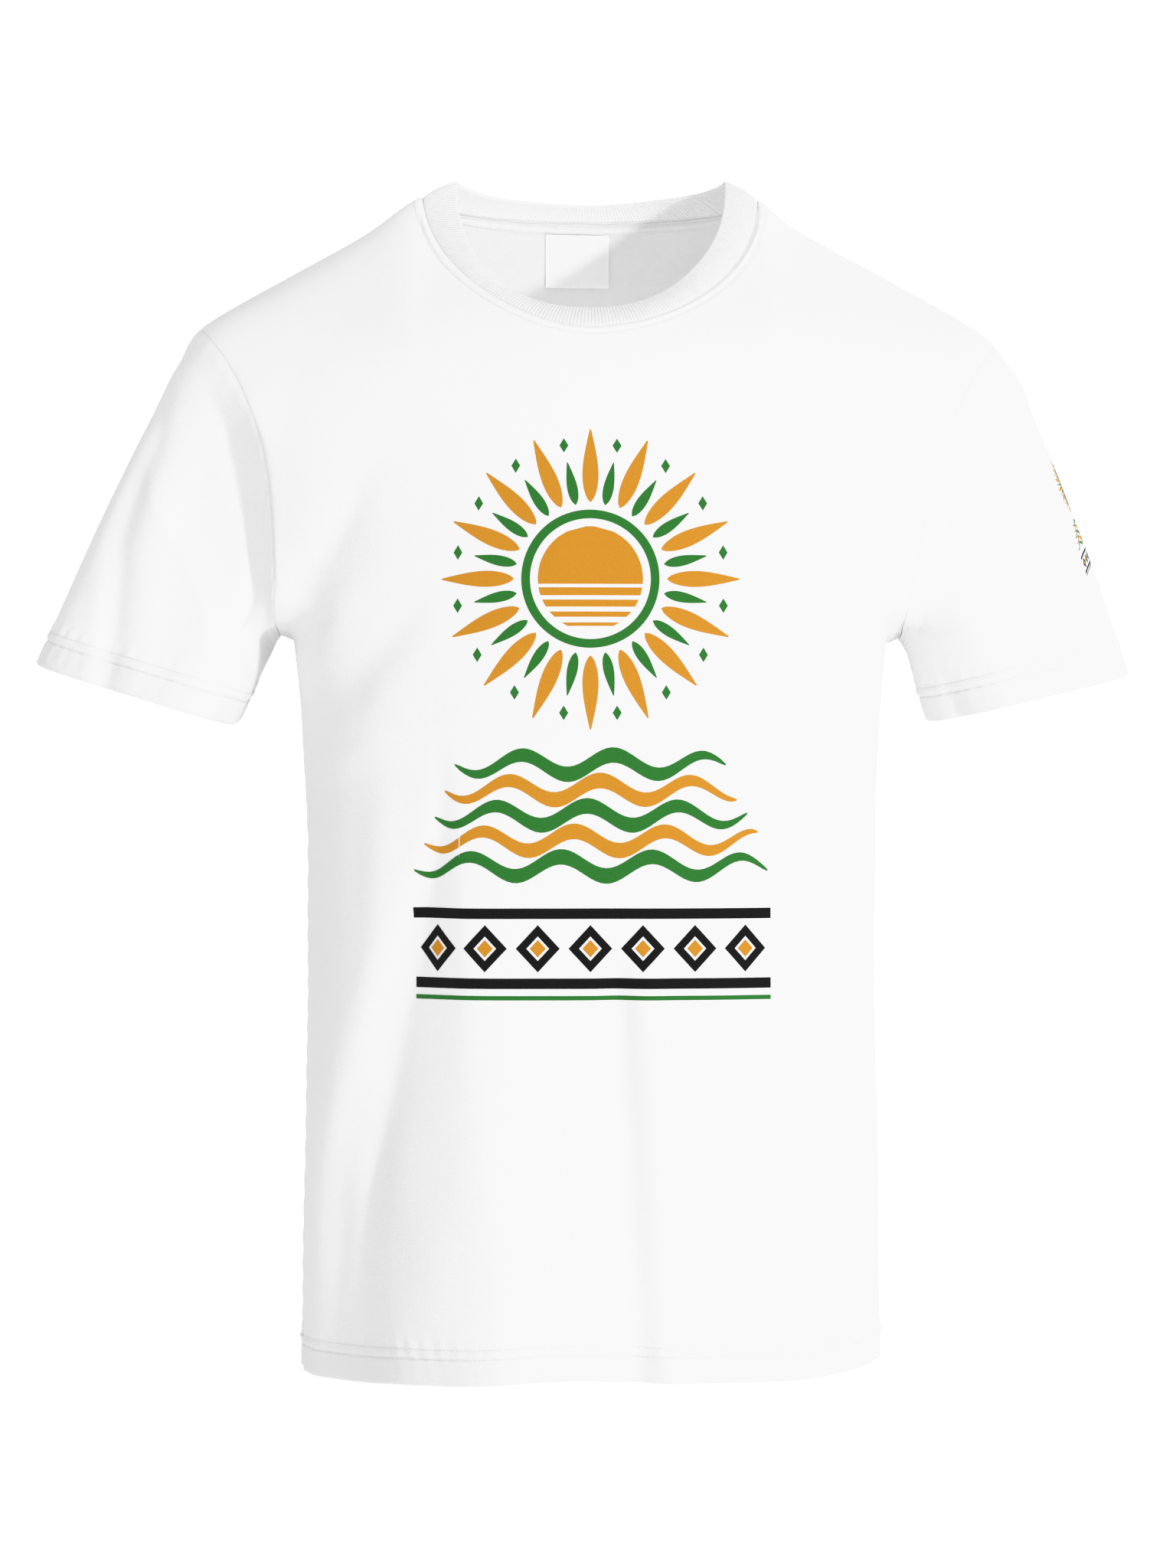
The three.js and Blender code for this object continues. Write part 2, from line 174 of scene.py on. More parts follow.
def sleeveField(side, x, y, z):
    # a tube whose section is |s|^n + |y / deep|^n = 1, n changing from its lower half to its upper one and
    # the front's depth with s; cut by the shoulder's rounded roof and by a wall towards the neck
    _, out, middle, half = sleeveSection(side, x, z)
    s = np.clip((out - middle) / half, -1.2, 1.2)
    n = np.where(s < 0, *side["square"])
    deep = np.where(y < 0, *side["deep"]) * (1 - side["lean"] * s * (y < 0))
    q = (np.abs((out - middle) / half) ** n + np.abs(y / deep) ** n) ** (1 / n)
    tube = np.hypot(out - middle, y) * (1 - 1 / np.maximum(q, 0.05))
    roof = z - ridgeZ(x) + y * y / (2 * shirtForm["shoulderRound"])
    capped = -smoothMin(-tube, -roof / np.hypot(1, shirtForm["shoulderSlope"]), shirtForm["blend"])
    return -smoothMin(-capped, np.abs(x) - shirtForm["sleeveStart"], shirtForm["blend"])


def bridging(y, z):
    # cloth drawn tight from chest to sleeve spans the hollow between them, above the armpit
    share = smooth((z + 274) / 24) * smooth((-100 - z) / 45) * smooth((np.abs(y) - 8) / 34)
    return shirtForm["blend"] + share * np.where(y < 0, shirtForm["bridgeFront"], shirtForm["bridgeBack"])


def formField(x, y, z):
    left, right = (sleeveField(sleeveForm[name], x, y, z) for name in ("left", "right"))
    return smoothMin(trunkField(x, y, z), np.where(x > 0, left, right), bridging(y, z))


def slopeOf(p, field=formField):
    # central differences half a millimetre either way
    return np.stack([field(*np.moveaxis(p + step, -1, 0)) - field(*np.moveaxis(p - step, -1, 0))
                     for step in 0.5 * np.eye(3)], -1)


def settle(p):
    # each step: p minus 0.8 field times slope over slope squared
    for _ in range(14):
        g = slopeOf(p)
        f = formField(*np.moveaxis(p, -1, 0))
        p = p - g * (0.8 * f / np.maximum((g * g).sum(-1), 1e-6))[..., None]
    return p


def halving(field, near, far, rounds=32):
    # halves the stretch between near, inside the form, and far, outside it, until it meets the form
    for _ in range(rounds):
        middle = (near + far) / 2
        inside = field(middle) < 0
        near, far = np.where(inside, middle, near), np.where(inside, far, middle)
    return (near + far) / 2


def onFace(x, z, facing):
    # the point of the form at x and z, between the middle and 200 mm out
    y = halving(lambda y: formField(x, y, z), trunkAt(z)[3] + 0 * x, facing * 200.0 + 0 * x)
    return np.stack([x, y, z + 0 * x], -1)


def upArmhole(side, z):
    # share of the way up from the armpit to the shoulder tip
    return (z - side["pit"][1]) / (side["tip"][1] - side["pit"][1])


def armholeX(side, z):
    # out from the armpit to the shoulder tip as straight t + (1 - straight) t^4
    t = np.clip(upArmhole(side, z), 0, 1)
    return lerp(side["pit"][0], side["tip"][0], side["straight"] * t + (1 - side["straight"]) * t ** 4)


def pitLevel(w):
    # the armpits' height, eased from the right one to the left one across the middle
    return lerp(sleeveForm["right"]["pit"][1], sleeveForm["left"]["pit"][1], smooth(w * 2 + 0.5))


# the two panels as grids: columns w from the right seam (-1) to the left seam (1)

neckShare = 14 / 26  # share of the columns that meet the neckline


def neckShareAt(x, isFront):
    # how far the neckline has dropped at x: (1 - |x / wide|^n)^(1/n), behind with n = 2
    n = np.where(isFront, lerp(*shirtForm["neckSquare"], smooth(x / 80 + 0.5)), 2)
    return np.maximum(0, 1 - np.minimum(np.abs(x) / shirtForm["neckWide"], 1) ** n) ** (1 / n)


def shoulderRise(p):
    # the cloth stands up beside the neck, and the right shoulder sits a little higher
    x = p[..., 0]
    rise = lerp(2.7, -0.6, smooth((x - 90) / 40)) + 2.4 * hill(x - 104, 9)
    rise = rise + 5.0 * hill((x + 106) / np.where(x < -106, 20, 10), 1)
    return rise * smooth((p[..., 2] - np.minimum(ridgeZ(x), shirtForm["shoulderZ"]) + 90) / 80)


def topEdgeX(w):
    # round the neck as a sine, then evenly out along the shoulder
    out = np.abs(w) / neckShare
    round_ = shirtForm["neckWide"] * np.sin(np.pi / 2 * np.minimum(out, 1))
    tip = np.where(w > 0, sleeveForm["left"]["tip"][0], sleeveForm["right"]["tip"][0])
    along = lerp(shirtForm["neckWide"], tip, (np.abs(w) - neckShare) / (1 - neckShare))
    return np.sign(w) * np.where(out <= 1, round_, along)


def topEdge(w, facing):
    # the shoulder's ridge outside the neck; on the neckline z = ridge - drop sqrt(1 - (x/wide)^2)
    x = topEdgeX(w)
    across = neckShareAt(x, facing < 0)
    drop = shirtForm["frontDrop"] if facing < 0 else shirtForm["backDrop"]
    onNeck = np.abs(w) <= neckShare
    z = np.where(onNeck, shirtForm["shoulderZ"] - drop * across, ridgeZ(x))
    _, _, back, mid, _ = trunkAt(z)
    shoulder = settle(np.stack([x, mid, z], -1))
    if facing < 0:
        neck = onFace(x, z, facing)
    else:
        neck = settle(np.stack([x, mid + back * across, z], -1))
    return np.where(onNeck[:, None] & (across > 0.02)[:, None], neck, shoulder)


def trunkPoint(facing, w, z):
    # superellipse: x = |sin|^n wide, y = middle +- |cos|^n depth, n = 2 / squareness
    wide, front, back, mid, square = trunkAt(z)
    n = 2 / square
    s, c = np.sin(w * np.pi / 2), np.cos(w * np.pi / 2)
    x = np.sign(s) * np.abs(s) ** n * wide
    y = mid + facing * np.abs(c) ** n * (front if facing < 0 else back)
    return np.stack(np.broadcast_arrays(x, y, z), -1)


def yokePart(facing, w, t):
    # from the top edge to the armpit: each column goes from its place on the edge to its place on the
    # trunk, and all are drawn in so that the outermost ones follow the armholes
    top = topEdge(w, facing)
    z = lerp(top[:, 2], pitLevel(w) + 1, t[:, None])
    left, right = sleeveForm["left"], sleeveForm["right"]
    seamX = np.where(w > 0, armholeX(left, z), armholeX(right, z))
    tipX = np.where(w > 0, left["tip"][0], right["tip"][0])
    onTrunk = trunkPoint(facing, w, z)[..., 0] * np.minimum(1, seamX / trunkAt(z)[0])
    x = lerp(topEdgeX(w) * (seamX / tipX), onTrunk, smooth(t)[:, None])
    p = settle(onFace(x, z, facing))
    for c, side in ((0, right), (-1, left)):
        edge = onFace(side["sign"] * armholeX(side, z[:, c]), z[:, c], facing)
        pit = np.array([side["sign"] * side["pit"][0], 0, side["pit"][1]])
        p[:, c] = np.where((z[:, c] <= side["pit"][1] + 2)[:, None], pit, edge)
    p[0] = top
    return p


# how the cloth hangs: soft folds laid on the form

folds = {
    # round the trunk: (angle from the front in degrees, height) along the fold, half width, height
    "trunk": [
        ([(-40, -310), (-43, -400), (-48.5, -527), (-55, -600), (-60, -670)], 13, 1.6),
        ([(4.5, -430), (5.5, -500), (7.5, -600), (9.5, -730)], 8, -7.0),
        ([(10.5, -430), (12.5, -500), (14.5, -600), (16.5, -730)], 10, 3.2),
        ([(30, -520), (34, -620), (35, -730)], 11, -1.2),
        ([(50, -480), (56, -600), (58, -730)], 14, 1.6),
        ([(70, -420), (74, -560), (75, -730)], 12, -1.8),
        ([(-74, -330), (-80, -480), (-84, -730)], 14, -1.4),
        ([(95, -300), (100, -450), (104, -620)], 12, -4.2),
        ([(-97, -300), (-101, -430), (-108, -650)], 12, -2.8),
        ([(118, -420), (122, -560), (124, -730)], 17, 4.5),
        ([(140, -340), (146, -500), (148, -730)], 13, -5.0),
        ([(163, -330), (165, -520), (166, -730)], 18, 3.6),
        ([(178, -300), (182, -500), (184, -730)], 12, -4.2),
        ([(-158, -350), (-161, -520), (-160, -730)], 17, 3.8),
        ([(-138, -300), (-142, -470), (-141, -730)], 13, -5.2),
        ([(-118, -400), (-122, -560), (-123, -730)], 16, 3.6),
    ],
    # one long flat facet: height, its crest's angle, how far it falls away to the left, and how much
    "facet": [(-330, -26, 8, 0), (-380, -25.2, 11, 4), (-450, -24, 28, 11), (-527, -22.6, 52, 20),
              (-600, -20.2, 82, 29), (-690, -18.6, 98, 33), (-740, -18, 102, 33)],
    # on one face, in the front view: line of (x, z), half width, height, facing
    "drag": [
        ([(-188, -285), (-163, -240), (-136, -190), (-118, -150)], 11, -3.2, -1),
        ([(-180, -305), (-146, -262), (-118, -215)], 11, 2.6, -1),
        ([(-176, -322), (-140, -300), (-106, -262), (-84, -225)], 12, -3.2, -1),
        ([(-170, -350), (-140, -340), (-112, -322)], 12, 2.0, -1),
        ([(186, -290), (165, -240), (150, -195)], 10, -2.6, -1),
        ([(180, -312), (150, -290), (126, -250)], 11, 1.6, -1),
        ([(-186, -280), (-160, -225), (-150, -160)], 11, -3.6, 1),
        ([(-178, -305), (-140, -275), (-96, -262)], 12, 2.6, 1),
        ([(186, -280), (160, -225), (150, -160)], 11, -3.6, 1),
        ([(178, -305), (140, -275), (96, -262)], 12, 2.6, 1),
    ],
    # round a sleeve: (angle from its outer line towards the front, distance below the armpit's level)
    "left": [
        ([(150, 0), (143, 30), (138, 95)], 11, -5.0),
        ([(118, -60), (112, 0), (104, 95)], 15, 2.6),
        ([(60, -120), (66, -40), (70, 95)], 16, -1.8),
        ([(-120, -60), (-118, 0), (-112, 95)], 14, -3.6),
        ([(-86, -90), (-84, 95)], 16, 2.6),
        ([(-48, -110), (-52, 95)], 15, -2.4),
    ],
    "right": [
        ([(150, 0), (144, 30), (140, 95)], 11, -4.0),
        ([(126, -50), (118, 0), (112, 95)], 12, 2.2),
        ([(44, -116), (53, -66), (62, -17), (80, 22), (94, 59), (104, 100)], 15, 2.4),
        ([(25, -116), (32, -66), (40, -17), (57, 25), (70, 59), (80, 100)], 10, -3.6),
        ([(34, -30), (47, 24), (60, 59), (70, 100)], 7, 1.4),
        ([(-120, -60), (-116, 0), (-110, 95)], 14, -3.6),
        ([(-84, -90), (-82, 95)], 16, 2.6),
        ([(-45, -110), (-50, 95)], 15, -2.4),
    ],
    "perDegree": {"trunk": 2.6, "sleeve": 1.05},  # millimetres round the cloth for one degree
    "facetRight": 55,    # how far the facet's crest falls away to the right
    "sleeveDepth": 62,   # depth with which a sleeve's angles are measured
    "ripples": [(0.55, 260, 95, 3), (0.275, 90, 42, 4)],  # height, length down the cloth, width, draw
    # how far each sleeve falls away beside its armhole seam, and how wide at the widest
    "fall": {"left": {"deep": 3.5, "wide": 16}, "right": {"deep": 14.0, "wide": 23.5}},
}


def foldAlong(across, down, line, wide, scale):
    # hill across the fold, faded in over its first 70 mm and out at its end unless that is the hem
    line = np.array(line, float)
    order = np.argsort(line[:, 1])
    middle = np.interp(down, line[order, 1], line[order, 0])
    top, low = line[:, 1].max(), line[:, 1].min()
    fade = smooth((top - down) / 70) * smooth((down - low + 25) / 60)
    return hill((across - middle) * scale, wide) * fade


def foldsRound(angle, down, lines, scale):
    # all folds of one tube, each taken the short way round to its own mean angle
    total = 0
    for line, wide, high in lines:
        centre = np.mean([a for a, _ in line])
        near = (angle - centre + 180) % 360 - 180 + centre
        total = total + high * foldAlong(near, down, line, wide, scale)
    return total


def trunkAngle(p):
    # degrees from the middle of the front on the trunk's ellipse, and which points lie in front
    wide, front, back, mid, _ = trunkAt(p[..., 2])
    dy = p[..., 1] - mid
    return np.degrees(np.arctan2(p[..., 0] / wide, -dy / np.where(dy < 0, front, back))), dy < 0


def eased(t, places, heights):
    # straight lines between the places, their corners rounded by a running mean
    fine = np.linspace(-2, 4, 601)
    mean = np.hanning(33)[1:-1] / np.hanning(33).sum()
    line = np.pad(np.interp(fine, places, heights), len(mean) // 2, "edge")
    return np.interp(t, fine, np.convolve(line, mean, "valid"))


def facetFold(p):
    # crest at 0, falling evenly to -1, then coming back; the corners rounded by a running mean
    angle, inFront = trunkAngle(p)
    table = np.array(folds["facet"], float)[::-1]
    crest, far, high = (np.interp(p[..., 2], table[:, 0], table[:, k]) for k in (1, 2, 3))
    s = (angle - crest) * folds["perDegree"]["trunk"]
    t = np.linspace(-3, 3, 601)
    mean = hill(np.linspace(-2, 2, 49), 1)
    shape = np.interp(t, [-1.9, -1.6, -1.3, -1, 0, 0.2, 0.6, 1.3], [0, -0.12, -0.5, -0.68, 0.32, 0.30, 0.13, 0])
    shape = np.convolve(shape, mean / mean.sum(), "same")
    return high * np.interp(np.where(s < 0, s / far, s / folds["facetRight"]), t, shape) * inFront


def dragFolds(p):
    # distance to the line of the fold in the front view, kept to one face and faded at both ends
    total = 0
    flat = p[..., [0, 2]]
    for line, half, high, facing in folds["drag"]:
        line = np.array(line, float)
        length = np.linalg.norm(np.diff(line, axis=0), axis=1)
        best, way = np.inf, 0
        for k, (a, b) in enumerate(zip(line[:-1], line[1:])):
            t = np.clip((flat - a) @ (b - a) / length[k] ** 2, 0, 1)
            d = np.linalg.norm(flat - a - t[..., None] * (b - a), axis=-1)
            way = np.where(d < best, (length[:k].sum() + t * length[k]) / length.sum(), way)
            best = np.minimum(best, d)
        fade = smooth(way / 0.3) * smooth((1 - way) / 0.45)
        total = total + high * hill(best, half) * fade * smooth(facing * p[..., 1] / 40)
    return total


def sleeveFolds(p, name):
    # angle 0 is the sleeve's outer line, 90 the middle of its front
    side = sleeveForm[name]
    along, out, middle, half = sleeveSection(side, p[..., 0], p[..., 2])
    angle = np.degrees(np.arctan2(-p[..., 1] / folds["sleeveDepth"], (out - middle) / half))
    lines = [([(a, -s) for a, s in line], wide, high) for line, wide, high in folds[name]]
    outside = smooth((np.abs(p[..., 0]) - armholeX(side, p[..., 2])) / 30)
    return foldsRound(angle, -along, lines, folds["perDegree"]["sleeve"]) * outside


def fallAway(p, name):
    # from the armhole seam the front of the sleeve sinks evenly and comes forward again in a crisp fold,
    # over wide (0.5 + 0.5 sin(pi share^1.4)), share being the way up the armhole
    side, fall = sleeveForm[name], folds["fall"][name]
    off = side["sign"] * p[..., 0] - armholeX(side, p[..., 2])
    share = np.clip(upArmhole(side, p[..., 2]), -1, 1)
    wide = fall["wide"] * (0.5 + 0.5 * np.sin(np.pi * np.maximum(share, 0) ** 1.4))
    stretch = smooth((share + 0.16) / 0.16) * smooth((0.86 - share) / 0.25) * smooth((-p[..., 1] - 12) / 28)
    return fall["deep"] * eased(off / wide, [-0.1, 1, 1.3, 3.2], [0, 1, 0.8, 0.2]) * stretch


def ripples(p, long, wide, draw):
    # sum of nine sines in turned directions, longer down the cloth than across it
    dice = np.random.default_rng(draw)
    total = 0
    for _ in range(9):
        turn = dice.uniform(0, 2 * np.pi)
        k = np.array([np.cos(turn), np.sin(turn), 0]) / (wide * dice.uniform(0.7, 1.5))
        k[2] = dice.uniform(-1, 1) / long
        total = total + np.sin(2 * np.pi * (p @ k) + dice.uniform(0, 2 * np.pi))
    return total / 3


def hang(p, n):
    # the point moved along the form's normal by all its folds; the ripples fade towards the neck
    angle, _ = trunkAngle(p)
    trunk = foldsRound(angle, p[..., 2], folds["trunk"], folds["perDegree"]["trunk"]) + facetFold(p)
    high = trunk * smooth((200 - np.abs(p[..., 0])) / 20) + dragFolds(p)
    high = high + np.where(p[..., 0] > 0, sleeveFolds(p, "left"), sleeveFolds(p, "right"))
    low = smooth((-90 - p[..., 2]) / 120)
    for size, long, wide, draw in folds["ripples"]:
        high = high + size * low * ripples(p, long, wide, draw)
    return p + n * (high - fallAway(p, "left") - fallAway(p, "right"))[..., None]


def hemDrop(p):
    # the rim is drawn up in the middle of the front and at the left side, and hangs lower at the right
    x = p[..., 0]
    rimFront = (5.2 * hill(x + 8, 55) + 2.6 * smooth((x - 10) / 80) + 4.0 * smooth((x - 120) / 45)
                - 3.2 * hill(x + 160, 34))
    rimBack = 6.6 * smooth(x / 340 + 0.5) + 1.8 * np.sin(x / 48 + 1) * (1 - (x / 175) ** 2)
    share = smooth((hemTop + 60 - p[..., 2]) / 80)
    return share * (np.where(p[..., 1] < 0, rimFront, rimBack) - 1.7)


def gridFaces(rows, cols, ring=False, tube=False):
    # the four corners of each cell; ring joins the last column to the first, tube the rows
    r = np.arange(rows if tube else rows - 1)[:, None]
    c = np.arange(cols if ring else cols - 1)[None]
    rn, cn = (r + 1) % rows, (c + 1) % cols
    quads = np.stack(np.broadcast_arrays(r * cols + c, rn * cols + c, rn * cols + cn, r * cols + cn), -1)
    return quads.reshape(-1, 4)


def makeMesh(name, points, faces, uv=None, material=None, merge=False):
    # points in millimetres, four corners a face, uv in millimetres on the cloth
    mesh = bpy.data.meshes.new(name)
    points = points.reshape(-1, 3) * mm
    mesh.vertices.add(len(points))
    mesh.vertices.foreach_set("co", points.astype(np.float32).ravel())
    mesh.loops.add(faces.size)
    mesh.loops.foreach_set("vertex_index", faces.ravel().astype(np.int32))
    mesh.polygons.add(len(faces))
    mesh.polygons.foreach_set("loop_start", np.arange(0, faces.size, 4, dtype=np.int32))
    mesh.update(calc_edges=True)
    if uv is not None:
        corners = uv.reshape(-1, 2)[faces.ravel()]
        mesh.uv_layers.new(name="cloth").data.foreach_set("uv", corners.astype(np.float32).ravel())
    if merge:
        bm = bmesh.new()
        bm.from_mesh(mesh)
        bmesh.ops.remove_doubles(bm, verts=bm.verts, dist=1e-6)
        bmesh.ops.dissolve_degenerate(bm, dist=1e-7, edges=bm.edges)
        bmesh.ops.recalc_face_normals(bm, faces=bm.faces)
        bm.to_mesh(mesh)
        bm.free()
    mesh.polygons.foreach_set("use_smooth", np.ones(len(mesh.polygons), bool))
    if material is not None:
        mesh.materials.append(material)
    obj = bpy.data.objects.new(name, mesh)
    bpy.context.scene.collection.objects.link(obj)
    return obj


def thicken(obj, thick, inside=None):
    # a wall grown inwards; its cut edge is shaded apart from the cloth's face
    mesh = obj.data
    sides = np.zeros(len(mesh.loops), np.int32)
    mesh.loops.foreach_get("edge_index", sides)
    cut = np.bincount(sides, minlength=len(mesh.edges)) == 1
    mesh.attributes.new("sharp_edge", "BOOLEAN", "EDGE").data.foreach_set("value", cut)
    wall = obj.modifiers.new("wall", "SOLIDIFY")
    wall.thickness = thick * mm
    wall.offset = -1
    wall.use_even_offset = False
    # the wall's inner face takes the inside material, whose greyer colour is painted shade
    if inside is not None:
        mesh.materials.append(inside)
        wall.material_offset = 1
    return obj


def outward(points, towards):
    # cross product of the steps down and across, turned the way the form's normals point
    n = unit(np.cross(np.gradient(points, axis=0), np.gradient(points, axis=1)))
    return n * np.sign((n * towards).sum(-1).mean())


def wayAlong(p, axis=0):
    # running length along each line of the grid
    steps = np.linalg.norm(np.diff(p, axis=axis), axis=-1)
    start = np.zeros_like(np.take(steps, [0], axis=axis))
    return np.concatenate([start, np.cumsum(steps, axis=axis)], axis=axis)


def lookUp(grid, r, c):
    # the grid between its points, by the two nearest rows and columns
    r, c = np.clip(r, 0, grid.shape[0] - 1.001), np.clip(c, 0, grid.shape[1] - 1.001)
    i, j = r.astype(int), c.astype(int)
    u, v = (r - i)[..., None], (c - j)[..., None]
    return lerp(lerp(grid[i, j], grid[i, j + 1], v), lerp(grid[i + 1, j], grid[i + 1, j + 1], v), u)


def hexColour(code):
    # sRGB hex to linear: ((c + 0.055) / 1.055) ^ 2.4
    c = np.array([int(code[k:k + 2], 16) / 255 for k in (1, 3, 5)])
    c = np.where(c <= 0.04045, c / 12.92, ((c + 0.055) / 1.055) ** 2.4)
    return (*c.tolist(), 1.0)


def addNode(tree, kind, settings):
    # a key is an input, by name or number, or a property; a value that is a socket is linked.
    # Gives back the node's outputs
    node = tree.nodes.new("ShaderNode" + kind)
    for key, value in settings.items():
        if isinstance(value, bpy.types.NodeSocket):
            tree.links.new(value, node.inputs[key])
        elif isinstance(key, int) or key in node.inputs:
            node.inputs[key].default_value = value
        else:
            setattr(node, key, value)
    return node.outputs


def newMaterial(name):
    material = bpy.data.materials.new(name)
    material.use_nodes = True
    material.node_tree.nodes.clear()
    return material, material.node_tree


def finishMaterial(tree, settings):
    shader = addNode(tree, "BsdfPrincipled", settings)
    addNode(tree, "OutputMaterial", {"Surface": shader[0]})


def toned(tree, tone, low, high, dark, light):
    # the colour goes from dark where the tone is low to light where it is high
    share = addNode(tree, "MapRange", {"Value": tone, "From Min": low, "From Max": high})
    return addNode(tree, "Mix", {"data_type": "RGBA", 0: share[0], 6: hexColour(dark), 7: hexColour(light)})[2]


def knitHeight(tree, place, settings):
    # columns of V loops: cos(2 pi u/wale) and cos(2 pi v/course + 2.4 |sin(pi u/wale)|)
    u, v, _ = addNode(tree, "SeparateXYZ", {0: place})
    turn = addNode(tree, "Math", {"operation": "MULTIPLY", 0: u, 1: 2 * np.pi / settings["wale"]})
    column = addNode(tree, "Math", {"operation": "COSINE", 0: turn[0]})
    half = addNode(tree, "Math", {"operation": "MULTIPLY", 0: turn[0], 1: 0.5})
    sine = addNode(tree, "Math", {"operation": "SINE", 0: half[0]})
    bow = addNode(tree, "Math", {"operation": "ABSOLUTE", 0: sine[0]})
    lag = addNode(tree, "Math", {"operation": "MULTIPLY", 0: bow[0], 1: 2.4})
    phase = addNode(tree, "Math", {"operation": "MULTIPLY_ADD", 0: v, 1: 2 * np.pi / settings["course"],
                                   2: lag[0]})
    loop = addNode(tree, "Math", {"operation": "COSINE", 0: phase[0]})
    loops = addNode(tree, "Math", {"operation": "MULTIPLY_ADD", 0: loop[0], 1: settings["loopShare"], 2: 0.5})
    return addNode(tree, "Math", {"operation": "MULTIPLY_ADD", 0: column[0], 1: settings["columnShare"],
                                  2: loops[0]})[0]


def knitMaterial(name, light, dark, settings):
    # knitted or woven white cloth: matt, with a soft nap, faint slubs and cloudy patches, and painted shade in
    # the knit's hollows
    material, tree = newMaterial(name)
    place = addNode(tree, "UVMap", {"uv_map": "cloth"})[0]
    knit = knitHeight(tree, place, settings)
    slub = addNode(tree, "TexNoise", {"Vector": place, "Scale": 1 / settings["slub"], "Detail": 3.0,
                                      "Roughness": 0.6})
    cloud = addNode(tree, "TexNoise", {"Vector": place, "Scale": 1 / settings["cloud"], "Detail": 2.0})
    nap = addNode(tree, "TexNoise", {"Vector": place, "Scale": 1 / settings["nap"], "Detail": 2.0})
    clouds = addNode(tree, "Math", {"operation": "MULTIPLY", 0: cloud[0], 1: 0.35})
    slubs = addNode(tree, "Math", {"operation": "MULTIPLY_ADD", 0: slub[0], 1: 0.45, 2: clouds[0]})
    # the knit's height in the tone makes the colour darker in its hollows, which is painted shade; slubs and
    # clouds are the cloth's own uneven tone
    tone = addNode(tree, "Math", {"operation": "MULTIPLY_ADD", 0: knit, 1: 0.35, 2: slubs[0]})
    rough = addNode(tree, "MapRange", {"Value": slub[0], "To Min": settings["rough"] - 0.05,
                                       "To Max": settings["rough"] + 0.05})
    height = addNode(tree, "Math", {"operation": "MULTIPLY_ADD", 0: nap[0], 1: 0.5, 2: knit})
    bump = addNode(tree, "Bump", {"Height": height[0], "Strength": settings["bump"],
                                  "Distance": settings["deep"] * mm})
    finishMaterial(tree, {
        "Base Color": toned(tree, tone[0], 0.30, 0.85, dark, light), "Roughness": rough[0], "Normal": bump[0],
        "Sheen Weight": settings["sheen"], "Sheen Roughness": 0.5, "Specular IOR Level": settings["specular"],
        "Subsurface Weight": settings["glow"],  # light through thin cloth
        "Subsurface Radius": (1.0, 1.0, 1.0), "Subsurface Scale": 3 * mm,
    })
    return material


# lengths in millimetres
jerseySettings = {
    "wale": 1.5,     # real wales lie 0.8 mm apart, too fine to show, so drawn at 1.5 mm
    "course": 1.2,   # real courses 0.6 mm, drawn at 1.2 mm
    "columnShare": 0.16, "loopShare": 0.20, "slub": 7.0, "cloud": 60.0, "nap": 0.9,
    "rough": 0.9, "bump": 0.32, "deep": 0.25, "sheen": 0.05, "glow": 0.3, "specular": 0.15,
}
insideSettings = {**jerseySettings, "bump": 0.4}
# the large column share darkens the colour in each rib furrow: painted shade
ribSettings = {**jerseySettings, "wale": 1.95,  # one rib and one furrow
               "course": 1.0, "slub": 5.0, "bump": 0.4, "deep": 0.2, "columnShare": 0.5, "loopShare": 0.1}
tapeSettings = {**jerseySettings, "wale": 1.1, "course": 0.9, "slub": 4.0, "bump": 0.5}
labelSettings = {**jerseySettings, "wale": 0.8, "course": 0.8, "rough": 0.5, "bump": 0.25, "sheen": 0.1,
                 "specular": 0.5}
threadSettings = {**jerseySettings, "wale": 0.9, "course": 0.5, "rough": 0.6, "bump": 0.3}

# ring-spun cotton jersey, washed: matt white, with fine wales that only show close to
jersey = knitMaterial("cottonJersey", "#eeeeee", "#eaeaea", jerseySettings)
# its purl side: rougher, and greyer as painted shade for the inside of the shirt
jerseyInsideShaded = knitMaterial("cottonJerseyInsidePaintedShade", "#dedede", "#d7d7d7", insideSettings)
# 1x1 cotton rib: matt; each furrow is coloured darker than its rib, as painted shade in the furrows
rib = knitMaterial("cottonRib", "#ececec", "#d8d8d8", ribSettings)
# cotton twill, woven closer than the jersey: matt and flat
tapeCotton = knitMaterial("cottonTwillTape", "#efefef", "#e2e2e2", tapeSettings)
# woven polyester satin: the whitest piece, smooth with a soft gloss
labelSatin = knitMaterial("polyesterSatin", "#ffffff", "#fafafa", labelSettings)
# spun polyester sewing thread: fine turns and a slight gloss
thread = knitMaterial("polyesterThread", "#f3f3f3", "#e8e8e8", threadSettings)


def inkMaterial(name, colour, worn):
    # water-based screen ink cured on cotton: matt, the knit shows through, slightly worn on top
    material, tree = newMaterial(name)
    place = addNode(tree, "UVMap", {"uv_map": "cloth"})[0]
    knit = knitHeight(tree, place, {**jerseySettings, "columnShare": 0.18})
    speck = addNode(tree, "TexNoise", {"Vector": place, "Scale": 0.6, "Detail": 4.0, "Roughness": 0.7})
    specks = addNode(tree, "Math", {"operation": "MULTIPLY", 0: speck[0], 1: 0.8})
    tone = addNode(tree, "Math", {"operation": "MULTIPLY_ADD", 0: knit, 1: 0.4, 2: specks[0]})
    bump = addNode(tree, "Bump", {"Height": knit, "Strength": 0.3, "Distance": 0.2 * mm})
    finishMaterial(tree, {"Base Color": toned(tree, tone[0], 0.35, 0.95, colour, worn), "Normal": bump[0],
                          "Roughness": 0.8, "Specular IOR Level": 0.08})
    return material


